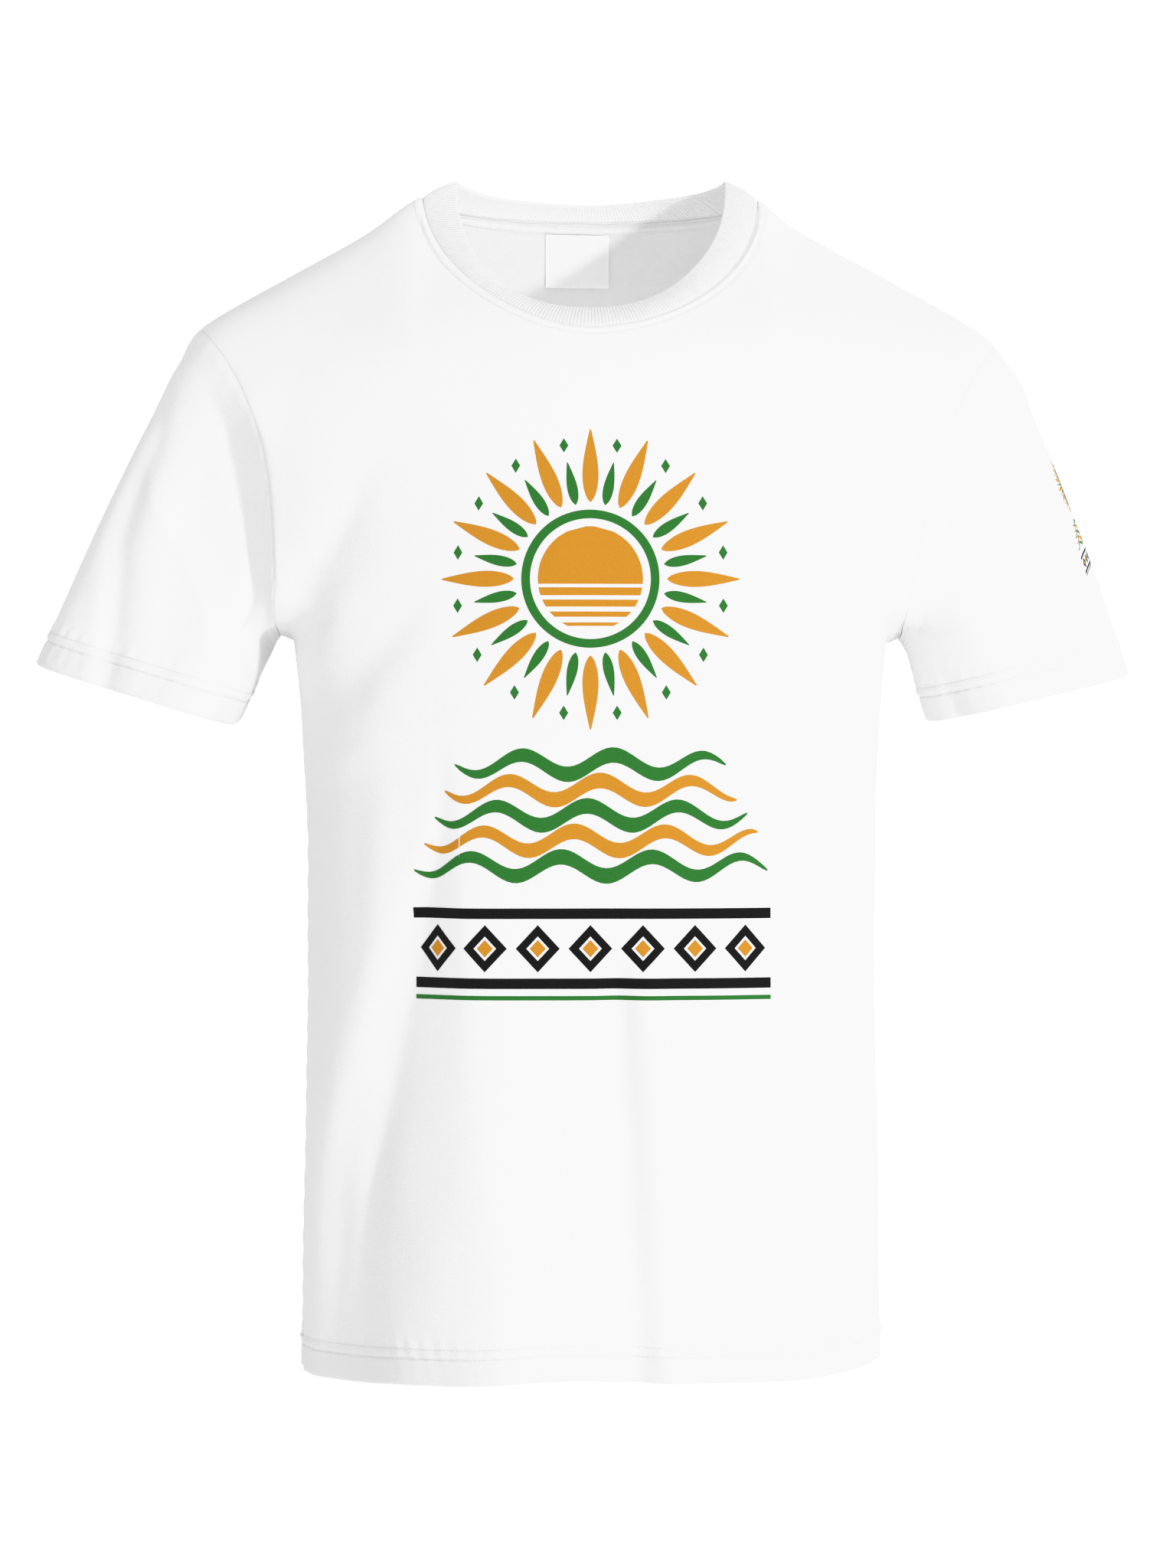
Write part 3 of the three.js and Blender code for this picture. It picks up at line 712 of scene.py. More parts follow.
inks = {
    "green": inkMaterial("waterBasedInkGreen", "#256525", "#2c702e"),
    "orange": inkMaterial("waterBasedInkOrange", "#bb7a1d", "#c4862b"),
    "black": inkMaterial("waterBasedInkBlack", "#080808", "#101010"),
}
print("materials made:", len(bpy.data.materials))


# front and back panels, each one cut of cloth with its hem turned up inside

panelCloth = {
    "thick": 0.8, "columnStep": 2.7, "rowStep": 2.9, "seamStep": 0.8, "yokeHigh": 230, "waistZ": -450.0,
    "hemStart": 30,  # height above the rim from which the hem's own rows run
    "seamDip": 0.45, "seamDipWide": 2.0, "seamRoll": 0.4, "foldRadius": 1.1, "turnUp": 19,
    "stitchDip": 0.75, "puckerPitch": 10.0, "pucker": 0.42,
    "coverStitch": 5.4, "coverDip": 0.5, "stitchRows": (15.0, 20.6),
}


def panelColumns():
    # even along the arc at the waist, closer at the side seams
    w = np.linspace(-1, 1, 4001)
    arc = wayAlong(trunkPoint(-1, w, np.full(w.shape, panelCloth["waistZ"])))
    places = crowded(arc[-1], panelCloth["seamStep"], panelCloth["columnStep"]) * arc[-1]
    return np.interp(places, arc, w)


def yokeRows():
    # shares of the way down to the armpit: even steps under the top edge, then growing ones, then even again
    high = panelCloth["yokeHigh"]
    growing = 9 / high + crowded(442, panelCloth["seamStep"], panelCloth["rowStep"]) * 442 / high
    return np.concatenate([np.arange(0, 9, 0.75) / high, growing[growing < 0.5], np.linspace(0.5, 1, 44)])


columns, yokeShare = panelColumns(), yokeRows()


def hemProfile(high):
    # height above the rim and depth inside the outer face: down, round the fold, up inside
    r = panelCloth["foldRadius"]
    close = [27, 25, 23.8, 22.9, 22.2, 21.6, 21.1, 20.6, 20.1, 19.4, 18.5, 17.6, 16.6, 15.8, 15.4, 15.0, 14.6,
             14.1, 13.2, 11.5, 9, 6, 3.4]
    down = np.array([high] + [v for v in close if v < high - 0.5] + [r])
    turn = np.linspace(0, np.pi, 8)[1:-1]
    up = np.linspace(r, panelCloth["turnUp"], 9)
    rise = np.concatenate([down, r - r * np.sin(turn), up])
    inset = np.concatenate([0 * down, r - r * np.cos(turn), 0 * up + 2 * r])
    return rise, inset, np.arange(len(rise)) >= len(down)


def stitchedRows(start, rise, isTurned):
    # where the two stitch rows lie between the grid's rows
    outer = rise[~isTurned]
    return start + np.interp([-v for v in panelCloth["stitchRows"]], -outer, np.arange(len(outer)))


def hemRelief(rise, outer, u):
    # the doubled band stands proud, swells between its two stitch rows and dips along each of them
    band = 0.45 * smooth((22.6 - rise) / 1.6) + 0.75 * hill(rise - 17.9, 1.9) + 0.3 * hill(rise - 23.6, 1.5)
    drawn = 1 + 0.45 * np.sin(2 * np.pi * u / 8.3 + 2.2 * np.sin(u / 27.0))
    drawn = drawn + 0.3 * np.sin(u / 13.0 + 3 * np.sin(u / 71.0))
    fainter = 0.35 + 0.25 * np.sin(u / 19.0 + 2 * np.sin(u / 43.0))
    low, high = panelCloth["stitchRows"]
    dips = panelCloth["stitchDip"] * drawn * (hill(rise - low, 0.8) + fainter * hill(rise - high, 0.8))
    return np.where(outer, band - dips, 0)


def relaxed(p):
    # each point moves to the mean of its four neighbours, most where the sleeve meets the shoulder
    q = p.copy()
    share = hill((np.abs(p[..., 0]) - 172) / 42, 1) * smooth((p[..., 2] + 175) / 60)
    fromEdge = np.minimum(np.arange(p.shape[1]), np.arange(p.shape[1])[::-1])
    share = share * (smooth((np.abs(p[..., 0]) - 104) / 12) * smooth(fromEdge / 12))
    for _ in range(140):
        near = q.copy()
        near[1:-1, 1:-1] = (q[:-2, 1:-1] + q[2:, 1:-1] + q[1:-1, :-2] + q[1:-1, 2:]) / 4
        near[0, 1:-1] = (q[0, :-2] + q[0, 2:]) / 2
        q = lerp(q, near, share[..., None])
        q[:, [0, -1]] = p[:, [0, -1]]
    return q


def makePanel(facing):
    # yoke from the top edge to the armpit, trunk down to the rim, then the turned-up hem
    w, hemZ = columns, shirtForm["hemZ"]
    yoke = relaxed(yokePart(facing, w, yokeShare))
    rise, inset, isTurned = hemProfile(panelCloth["hemStart"])
    share = np.linspace(0, 1, int(400 / panelCloth["rowStep"]))[1:-1]
    body = trunkPoint(facing, w, lerp(pitLevel(w), hemZ + panelCloth["hemStart"], share[:, None]))
    p = np.concatenate([yoke, body, trunkPoint(facing, w, (hemZ + rise)[:, None])])
    hemStart = len(yoke) + len(body)
    inward = np.concatenate([np.zeros(hemStart), inset])[:, None]
    isOuter = ~np.concatenate([np.zeros(hemStart, bool), isTurned])[:, None]
    # normals of the whole form above the armpit and of the trunk alone below it
    n = np.concatenate([unit(slopeOf(yoke)), unit(slopeOf(p[len(yoke):], trunkField))])
    heights = p[..., 2] - hemZ
    down, across = wayAlong(p), wayAlong(p, 1)
    fromSide = np.minimum(across, across[:, -1:] - across)
    u = across - across[:, [len(w) // 2]]
    neckLine = topEdge(np.linspace(-neckShare, neckShare, 480), facing)
    near = slice(0, 46)  # the rows that come close to the neckline
    fromNeck = np.full(p.shape[:2], 99.0)
    fromNeck[near] = np.sqrt(((p[near, :, None] - neckLine) ** 2).sum(-1).min(-1))
    # seams: a narrow dip at the seam itself and behind a soft roll of the seam allowance beside it
    dip, dipWide = panelCloth["seamDip"], panelCloth["seamDipWide"]
    side = np.where(np.arange(len(p))[:, None] < len(yoke), 0.6, 1) * hill(fromSide, dipWide)
    relief = -dip * (side + hill(np.where(np.abs(w) <= neckShare, 99, down), dipWide))
    if facing > 0:
        atTop = hill(down - 5, 2.4) * smooth((fromNeck - 8) / 6)
        relief = relief + panelCloth["seamRoll"] * (hill(fromSide - 5, 2.6) + atTop)
    # at the neck the seam allowance lies under the body, held by the cover stitch
    proud = 1 + 0.9 * smooth((np.abs(p[..., 0]) - 78) / 18) * (facing < 0)
    relief = relief - 0.4 * hill(fromNeck, 1.5) + 0.75 * proud * hill(fromNeck - 3.0, 1.7)
    relief = relief - panelCloth["coverDip"] * hill(fromNeck - panelCloth["coverStitch"], 0.9)
    relief = relief + 0.25 * hill(fromNeck - 8.0, 2.0) + hemRelief(heights, isOuter, u)
    # small puckers where the stitching draws the cloth in
    ease = 1 + 0.35 * np.sin(u / 23.0) + 0.3 * np.sin(u / 61.0 + facing)
    atHem = hill(heights - 23.5, 3.2) + 0.8 * hill(heights - 18, 2.5) + 0.5 * hill(heights - 9, 5)
    turn = 2 * np.pi * u / panelCloth["puckerPitch"] + (heights - 18) / 6.0 + 2 * np.sin(u / 37.0)
    relief = relief + panelCloth["pucker"] * ease * atHem * np.sin(turn)
    turn = 2 * np.pi * heights / 15 + 2 * np.sin(heights / 33.0)
    relief = relief + 0.28 * ((heights < 380) & (heights > 26)) * hill(fromSide - 5, 5) * np.sin(turn)
    q = hang(p, n) + n * (relief - inward)[..., None]
    q[..., 2] += hemDrop(p) + shoulderRise(p)
    # the cloth's own measure: across from the centre line, up from the rim
    away = wayAlong(q)
    return {"form": p, "points": q, "outward": outward(q, n), "uv": np.stack([u, away[-1:] - away], -1),
            "yokeRows": len(yoke), "hemRow": stitchedRows(hemStart, rise, isTurned),
            "faceRows": hemStart + (~isTurned).sum()}


front, back = makePanel(-1), makePanel(1)
print("panels:", front["points"].shape, back["points"].shape)


# sleeves, each one cut sewn into a tube, with its hem turned up inside

sleeveCloth = {"rows": 74, "seamStep": 0.8, "along": 170, "hemStart": 26, "hemSag": 5.5}


def sleeveRing(side, rise, count):
    # in the plane of the hem, along rays from the middle to the sleeve's form
    outer, inner = np.array(side["hemOut"], float), np.array(side["hemIn"], float)
    across = unit(np.array([side["sign"] * (outer[0] - inner[0]), 0, outer[1] - inner[1]]))
    up = np.array([-across[2], 0, across[0]]) * np.sign(across[0])
    middle = np.array([side["sign"] * (outer[0] + inner[0]) / 2, 0, (outer[1] + inner[1]) / 2])
    middle = middle + up * rise[:, None, None]
    turn = 2 * np.pi * np.arange(count) / count
    ray = across * np.cos(turn)[:, None] + np.array([0, -1, 0]) * np.sin(turn)[:, None]
    start = np.zeros((len(rise), count))
    reach = halving(lambda out: sleeveField(side, *np.moveaxis(middle + ray * out[..., None], -1, 0)),
                    start, start + 110, 30)
    return middle + ray * reach[..., None], up


def opened(ring, start):
    # a ring cut at one column, which stands at both ends so that the cloth's measure doesn't wrap
    return np.concatenate([ring[:, start:], ring[:, :start + 1]], 1)


def makeSleeve(name):
    # rings from the armhole to the rim, both starting at the shoulder seam, then the turned-up hem
    side = sleeveForm[name]
    c = -1 if side["sign"] > 0 else 0
    rows = front["yokeRows"]
    startFront, startBack = front["form"][:rows, c], back["form"][:rows, c]
    loop = np.concatenate([startFront, startBack[1:-1][::-1]])
    rise, inset, isTurned = hemProfile(sleeveCloth["hemStart"])
    hem, up = sleeveRing(side, rise, len(loop))
    share = crowded(sleeveCloth["along"], sleeveCloth["seamStep"], sleeveCloth["along"] / sleeveCloth["rows"])
    body = lerp(loop, hem[:1], share[share < 1][:, None, None])
    body[1:] = settle(body[1:])
    p = np.concatenate([body, hem])
    hemStart = len(body)
    inward = np.concatenate([np.zeros(hemStart), inset])[:, None]
    isOuter = ~np.concatenate([np.zeros(hemStart, bool), isTurned])[:, None]
    down = wayAlong(p)
    heights = down[hemStart] + rise[0] - down
    heights[hemStart:] = rise[:, None]
    n = unit(slopeOf(p))
    own = unit(slopeOf(p[1:], lambda x, y, z: sleeveField(side, x, y, z)))
    n[1:] = unit(lerp(n[1:], own, smooth(down[1:, :, None] / 60)))
    # the underarm seam is at the lowest column, where front and back meet
    low = len(startFront) - 1
    ringWay = wayAlong(np.concatenate([p, p[:, :1]], 1), 1)[:, :-1]
    u = ringWay - ringWay[:, [low]]
    dip = panelCloth["seamDip"]
    relief = 0.6 * (panelCloth["seamRoll"] * hill(down - 5, 2.6) - dip * hill(down, panelCloth["seamDipWide"]))
    relief = relief - dip * hill(u, 1.8) + 0.35 * hill(np.abs(u) - 4.5, 2.4) + hemRelief(heights, isOuter, u)
    ease = 1 + 0.35 * np.sin(u / 19.0 + side["sign"])
    atHem = hill(heights - 23.5, 3) + 0.6 * hill(heights - 9, 5)
    turn = 2 * np.pi * u / panelCloth["puckerPitch"] + 2 * np.sin(u / 31.0)
    relief = relief + panelCloth["pucker"] * ease * atHem * np.sin(turn)
    relief = relief + 0.22 * hill(down - 6, 5) * np.sin(2 * np.pi * ringWay / 14 + 2 * np.sin(ringWay / 29.0))
    q = hang(p, n) + n * (relief - inward)[..., None]
    # the rim hangs lower at the front than at the back
    sag = sleeveCloth["hemSag"] * smooth(0.5 - p[..., 1] / 100) - 1.0
    q = q - up * (sag * smooth(1 - heights / 90))[..., None]
    q[..., 2] += shoulderRise(p)
    points = opened(q, low)
    across, away = wayAlong(points, 1), wayAlong(points)
    return {"points": points, "outward": outward(points, opened(n, low)),
            "uv": np.stack([across - across[:, -1:] / 2, away[-1:] - away], -1),
            "outerColumn": len(loop) - low, "hemRow": stitchedRows(hemStart, rise, isTurned),
            "faceRows": hemStart + (~isTurned).sum()}


leftSleeve, rightSleeve = makeSleeve("left"), makeSleeve("right")
print("sleeves:", leftSleeve["points"].shape, rightSleeve["points"].shape)

# the grids of the back and the right sleeve run the other way round, and a sleeve closes at its underarm
for name, cloth, turned, closed, nodes in (
        ("frontCloth", front, False, False, ("front_panel", "front_hem")),
        ("backCloth", back, True, False, ("back_panel", "back_hem")),
        ("leftSleeveCloth", leftSleeve, False, True, ("left_sleeve", "left_sleeve_hem")),
        ("rightSleeveCloth", rightSleeve, True, True, ("right_sleeve", "right_sleeve_hem"))):
    faces = gridFaces(*cloth["points"].shape[:2])
    if turned:
        faces = faces[:, ::-1]
    cloth["obj"] = makeMesh(name, cloth["points"], faces, cloth["uv"], jersey, merge=closed)
    thicken(cloth["obj"], panelCloth["thick"], jerseyInsideShaded)
    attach(cloth["obj"], "root")
    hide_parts(*nodes)


# collar: a doubled band of 1x1 rib, stretched round the neck

collarCloth = {"ribPitch": 1.95, "ribDeep": 0.32, "half": 1.15, "swell": 1.0, "joinX": 64}
# its folded edge: half width, y and z at the side, in front and behind, and how square it is there
collarEdge = {"wide": 81, "side": (21, 5.6), "front": (-62, -78), "back": (60, -4.5), "square": (2.15, 1.75)}


def neckRing(turn):
    # x = wide sin(turn), in front where cos(turn) > 0; the neckline's own points
    x = shirtForm["neckWide"] * np.sin(turn)
    isFront = np.cos(turn) > 0
    across = neckShareAt(x, isFront)
    z = shirtForm["shoulderZ"] - np.where(isFront, shirtForm["frontDrop"], shirtForm["backDrop"]) * across
    _, _, backDeep, mid, _ = trunkAt(z)
    behind = settle(np.stack([x, mid + backDeep * across, z], -1))
    return np.where(isFront[:, None], onFace(x * 0.9999, z, -1), behind)


def collarRing(turn):
    # t = |sin|, depth = (1 - t^n)^(1/n), y and z go from the side's values to the middle's by depth
    isFront = np.cos(turn) > 0
    n = np.where(isFront, *collarEdge["square"])
    depth = (1 - np.abs(np.sin(turn)) ** n) ** (1 / n)
    y, z = (lerp(collarEdge["side"][k], np.where(isFront, collarEdge["front"][k], collarEdge["back"][k]), depth)
            for k in (0, 1))
    return np.stack([np.sin(turn) * collarEdge["wide"], y, z], -1)


def collarLines(turn):
    # the seam, as the panels' necklines have risen, and the folded edge
    seam = neckRing(turn)
    seam[:, 2] += shoulderRise(seam)
    return seam, collarRing(turn)


def makeCollar():
    # profile from the seam up the outer face, round the folded edge and down the inner face
    coarse = np.linspace(-np.pi / 2, 1.5 * np.pi, 1441)
    middle = wayAlong(lerp(*collarLines(coarse), 0.5)[:, None])[:, 0]
    perRib = 6
    count = int(round(middle[-1] / collarCloth["ribPitch"])) * perRib
    turn = np.interp(np.arange(count) / count * middle[-1], middle, coarse)
    seam, edge = collarLines(turn)
    around = np.roll(lerp(seam, edge, 0.5), -3, 0) - np.roll(lerp(seam, edge, 0.5), 3, 0)
    n = unit(np.cross(around, edge - seam))
    outOfNeck = np.stack([seam[:, 0], seam[:, 1], 30 + 0 * seam[:, 0]], -1)
    n = np.where(((n * outOfNeck).sum(1) < 0)[:, None], -n, n)
    length = np.linalg.norm(edge - seam, axis=1)[:, None]
    along = (edge - seam) / length
    r = collarCloth["half"]
    outer = np.linspace(0, 1, 22) ** 1.1
    turnover = np.linspace(0, np.pi, 9)[1:-1]
    inner = np.linspace(1, 0.03, 12)
    v = np.concatenate([outer, 1 + 0 * turnover, inner])[:, None, None]
    past = np.concatenate([0 * outer, r * np.sin(turnover), 0 * inner])[:, None, None]
    off = np.concatenate([0 * outer, -r + r * np.cos(turnover), 0 * inner - 2 * r])[:, None, None]
    tilt = unit(lerp(unit(slopeOf(seam)), n, np.clip(v * 4, 0, 1)))
    swell = collarCloth["swell"] * np.sin(np.pi * np.clip(v, 0, 1))
    dip = -panelCloth["seamDip"] * hill(v * length, 1.6) * (off > -r)
    # ribs: |sin| to the power 0.7 round each pitch, fading out at the fold and in the seam
    shape = (np.abs(np.sin(np.pi * np.arange(count) / perRib)) ** 0.7 - 0.65)[:, None]
    show = (1 - 0.55 * hill(past - r, r)) * smooth(v * length / 2.5) * np.where(off > -r * 1.01, 1, -1)
    # the band's two ends are joined behind: a furrow across it between two low welts
    roundWay = np.arange(count) / perRib * collarCloth["ribPitch"]
    joinAt = np.interp(np.pi - np.arcsin(collarCloth["joinX"] / collarEdge["wide"]), turn, roundWay)
    fromJoin = np.abs(roundWay - joinAt)[:, None]
    join = 0.35 * hill(fromJoin - 2.6, 1.3) - 0.6 * hill(fromJoin, 0.8)
    ribs = (collarCloth["ribDeep"] * shape * (1 - hill(fromJoin, 2.0)) + join) * show
    unevenness = (0.5 * np.sin(3 * turn + 0.7) + 0.35 * np.sin(7 * turn + 2))[:, None] * v * 0.8
    p = lerp(seam, edge, v) + along * (past + unevenness) + tilt * (off + swell + dip + ribs)
    down = wayAlong(p)
    return p, np.stack([roundWay + collarCloth["ribPitch"] / 2 + 0 * down, down], -1)


collarPoints, collarUv = makeCollar()
faces = gridFaces(*collarPoints.shape[:2], ring=True, tube=True)
collar = makeMesh("collarRib", collarPoints, faces, collarUv, rib, merge=True)
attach(collar, "root")
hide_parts("collar_rib")
print("collar:", collarPoints.shape)


def seek(table, k, value):
    # each value's place along row k of a table that grows along its rows; k may lie between two rows
    k = np.clip(k, 0, len(table) - 1.001)
    i = k.astype(int)
    line = lerp(table[i], table[i + 1], (k - i)[:, None])
    j = np.clip((line < value[:, None]).sum(1), 1, table.shape[1] - 1)
    n = np.arange(len(value))
    a, b = line[n, j - 1], line[n, j]
    return j - 1 + np.clip((value - a) / np.maximum(b - a, 1e-9), 0, 1)


def placeOn(across, down, a, d, rounds=4):
    # turn and turn about: the row where d is reached in the column, the column where a is reached in the row
    c = np.full(a.shape, across.shape[1] / 2)
    for _ in range(rounds):
        r = seek(down.T, c, d)
        c = seek(across, r, a)
    return r, c


def lineFrame(p, up):
    # points along a line, the way it runs there, and the way out of the cloth, square to it
    way = unit(np.gradient(p, axis=0))
    return p, way, unit(up - way * (up * way).sum(-1, keepdims=True))


def clothLine(cloth, r, c):
    return lineFrame(lookUp(cloth["points"], r, c), lookUp(cloth["outward"], r, c))


# tape over the back neck seam, and the label sewn in under it

neckTape = {"from": 1.5, "to": 8.7, "thick": 0.95, "steps": 110, "stitchIn": 1.3}
neckLabel = {"high": 33, "thick": 0.35, "lift": 0.55, "curl": 0.8, "stitchIn": 1.5, "stitchPitch": 2.2}
backDown = wayAlong(back["points"])


def insideBack(x, down, lift):
    # the back panel's inner face at x, so far below the neck seam, stood off into the shirt by lift
    shape = np.broadcast(x, down, lift).shape
    x, down, lift = (np.broadcast_to(v, shape).ravel() for v in (x, down, lift))
    r, c = placeOn(back["points"][..., 0], backDown, x, down)
    n = unit(lookUp(back["outward"], r, c))
    p = lookUp(back["points"], r, c) - n * (panelCloth["thick"] + lift)[:, None]
    return p.reshape(shape + (3,)), -n.reshape(shape + (3,))


def makeTape():
    # a flat strip's section: 1 - |2v - 1|^8, an edge rolled at each side, a dip at each stitch row
    lo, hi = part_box("neck_tape")
    x = np.linspace(lo.x, hi.x, neckTape["steps"]) / mm
    v = np.linspace(0, 1, 19)
    high = neckTape["thick"] * (0.25 + 0.6 * (1 - np.abs(2 * v - 1) ** 8))
    inset = neckTape["stitchIn"] / (neckTape["to"] - neckTape["from"])
    high = high + 0.16 * (hill(v - 0.07, 0.06) + hill(v - 0.93, 0.06))
    high = high - 0.22 * (hill(v - inset, 0.05) + hill(v - 1 + inset, 0.05))
    v = np.concatenate([v, np.linspace(1, 0, 8)])
    high = np.concatenate([high, np.full(8, 0.05)])[:, None]
    down = lerp(neckTape["from"], neckTape["to"], v)[:, None] + 0.22 * np.sin(x / 9.0) + 0.15 * np.sin(x / 3.7)
    high = high + 0.07 * np.sin(2 * np.pi * x / 5.5 + 2 * np.sin(x / 17))
    # both ends close to a line
    closing = np.arange(len(x)) % (len(x) - 1) == 0
    down, high = np.where(closing, down.mean(0), down), np.where(closing, 0.4, high)
    p, _ = insideBack(x, down, high)
    uv = np.stack(np.broadcast_arrays(x, down), -1)
    return makeMesh("neckTape", p, gridFaces(*down.shape, tube=True), uv, tapeCotton, merge=True), x


def onLabel(s, t, extra=0.0):
    # s across from -1 to 1 and t down from 0 to 1; the lower corners lift by curl t^4 (0.4 + 0.6 s^4)
    lo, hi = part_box("neck_label")
    middle, half = (lo.x + hi.x) / 2 / mm, (hi.x - lo.x) / 2 / mm
    x, down = s * half, t * neckLabel["high"]
    up, inside = neckLabel["high"] - down, neckLabel["stitchIn"]
    lift = neckLabel["lift"] + neckLabel["curl"] * t ** 4 * (0.4 + 0.6 * s ** 4) + extra
    lift = lift + 0.10 * np.sin(2 * np.pi * x / 4.2) * (hill(down - 3.5, 2.2) + hill(up - 3.5, 2.2))
    for edge in (down, up, half - np.abs(x)):
        lift = lift - 0.22 * hill(edge - inside, 0.5)
    lift = lift + 0.25 * np.sin(s * 2.1 + 1) * np.sin(t * 3.1)
    p, n = insideBack(middle + x, neckTape["to"] + 0.3 + down, lift)
    return p, n, np.stack(np.broadcast_arrays(x, -down), -1)


def makeLabel():
    # the woven cloth, and the four rows of stitches inside its edges
    p, _, uv = onLabel(np.linspace(-1, 1, 48)[None], np.linspace(0, 1, 42)[:, None])
    obj = makeMesh("neckLabel", p, gridFaces(42, 48)[:, ::-1], uv, labelSatin)
    half, high = abs(uv[0, 0, 0]), neckLabel["high"]
    inS, inT = 1 - neckLabel["stitchIn"] / half, neckLabel["stitchIn"] / high
    s = np.arange(-inS, inS, neckLabel["stitchPitch"] / half)
    t = np.arange(inT, 1 - inT, neckLabel["stitchPitch"] / high)
    sides = [(s, inT + 0 * s), (s, 1 - inT + 0 * s), (inS + 0 * t, t), (-inS + 0 * t, t)]
    return obj, [lineFrame(*onLabel(a, b, 0.02)[:2]) for a, b in sides]


tape, tapeX = makeTape()
label, labelLines = makeLabel()
thicken(label, neckLabel["thick"])
for obj, node, slot in ((tape, "neck_tape", "tape"), (label, "neck_label", "label")):
    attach(obj, "root")
    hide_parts(node)
print("tape and label made")


# stitches, each one a short low arch of thread with closed ends

stitch = {"pitch": 2.8, "long": 2.35, "thick": 0.5, "arch": 0.14, "sink": 0.10,
          "scales": {"hem": 1.0, "cover": 0.9, "tape": 0.75, "label": 0.6}, "tapePitch": 2.3}


def makeStitches(name, lines, kind="hem"):
    # five square sections along each stitch, as fat as sqrt(1 - 0.8 t^4), raised by arch (1 - t^2)
    scale = stitch["scales"][kind]
    t = np.linspace(-1, 1, 5)
    corner = np.pi / 4 + np.pi / 2 * np.arange(4)
    fat = np.sqrt(1 - 0.8 * t ** 4)[:, None] * stitch["thick"] * scale * 0.7
    along = (t * stitch["long"] * scale / 2)[:, None] + 0 * corner
    side = fat * np.cos(corner)
    high = fat * np.sin(corner) + ((stitch["arch"] * (1 - t * t) - stitch["sink"]) * scale)[:, None]
    middle, way, up = (np.concatenate(part)[:, None, None] for part in zip(*lines))
    p = middle + way * along[..., None] + np.cross(up, way) * side[..., None] + up * high[..., None]
    cell = np.concatenate([gridFaces(5, 4, ring=True), [[3, 2, 1, 0], [16, 17, 18, 19]]])
    corners = p[0].reshape(-1, 3)[cell] - p[0].mean((0, 1))
    if np.linalg.det(corners[:, :3]).sum() < 0:
        cell = cell[:, ::-1]
    faces = (cell + 20 * np.arange(len(middle))[:, None, None]).reshape(-1, 4)
    uv = np.broadcast_to(np.stack([side, along], -1), p.shape[:3] + (2,))
    obj = makeMesh(name, p, faces, uv, thread)
    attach(obj, "root")
    return obj


def hemLines(cloth):
    # both needle rows of a hem, at the same height all the way along
    lines, across = [], cloth["uv"][..., 0]
    for row in cloth["hemRow"]:
        start, end = lookUp(across[..., None], np.array([row, row]), np.array([0, 1e6]))[:, 0]
        a = np.arange(start + 2, end - 1, stitch["pitch"])
        r = np.full(len(a), row)
        lines.append(clothLine(cloth, r, seek(across, r, a)))
    return lines


def coverLine(cloth, facing):
    # along the neck seam, a fixed way out from it over the form: seam + out (tangent x normal)
    turn = np.linspace(-np.pi / 2, np.pi / 2, 721) + (0 if facing < 0 else np.pi)
    seam = neckRing(turn)
    n = unit(slopeOf(seam))
    out = np.cross(np.gradient(seam, axis=0), n)
    out = unit(out) * np.sign((out * n * [1, 1, 0]).sum(1).mean() + (out[:, 2] < 0).mean() - 0.5)
    p = settle(seam + out * panelCloth["coverStitch"])
    way = wayAlong(p[:, None])[:, 0]
    at = np.arange(5, way[-1] - 5, stitch["pitch"])
    x, z = np.interp(at, way, p[:, 0]), np.interp(at, way, p[:, 2])
    yoke = cloth["form"][:cloth["yokeRows"]]
    return clothLine(cloth, *placeOn(yoke[..., 0], -yoke[..., 2], x, -z, 8))


bodyHemStitches = makeStitches("bodyHemStitches", hemLines(front) + hemLines(back))
leftHemStitches = makeStitches("leftHemStitches", hemLines(leftSleeve))
rightHemStitches = makeStitches("rightHemStitches", hemLines(rightSleeve))
neckStitches = makeStitches("neckCoverStitches", [coverLine(front, -1), coverLine(back, 1)], "cover")
tapeX = np.arange(tapeX[0] + 2, tapeX[-1] - 2, stitch["tapePitch"])
tapeLines = [lineFrame(*insideBack(tapeX, down, 0.70)) for down in
             (neckTape["from"] + neckTape["stitchIn"], neckTape["to"] - neckTape["stitchIn"])]
tapeStitches = makeStitches("tapeStitches", tapeLines, "tape")
labelStitches = makeStitches("labelStitches", labelLines, "label")
print("stitches made")


# a sun over waves and a band of diamonds, printed on the chest, and small on the left sleeve

# middle: how far across and how far down on the cloth; across: which way x runs there
chestPrint = {"middle": (0.0, 238.0), "across": 1, "scale": 1.0, "cell": 3.0, "lift": 0.14, "thick": 0.10}
sleevePrint = {"middle": (18.0, 91.0), "across": -1, "scale": 0.205, "cell": 1.6, "lift": 0.14, "thick": 0.10}


def lattice(long, wide, cell):
    # two shares from 0 to 1 on a grid whose cells are at most cell wide
    return np.meshgrid(np.linspace(0, 1, max(2, int(np.ceil(long / cell)) + 1)),
                       np.linspace(0, 1, max(2, int(np.ceil(wide / cell)) + 1)), indexing="ij")


def sunStrip(radius, top, low, cell):
    # a slice of a disc: x = s sqrt(radius^2 - z^2)
    s, t = lattice(2 * radius, top - low, cell)
    z = lerp(low, top, t)
    return (2 * s - 1) * np.sqrt(np.maximum(radius ** 2 - z ** 2, 0.02)), z


def ringBand(inner, outer, start, stop, cell):
    # part of a ring between two angles
    a, t = lattice(outer * abs(stop - start), outer - inner, cell)
    angle, radius = lerp(start, stop, a), lerp(inner, outer, t)
    return radius * np.sin(angle), radius * np.cos(angle)


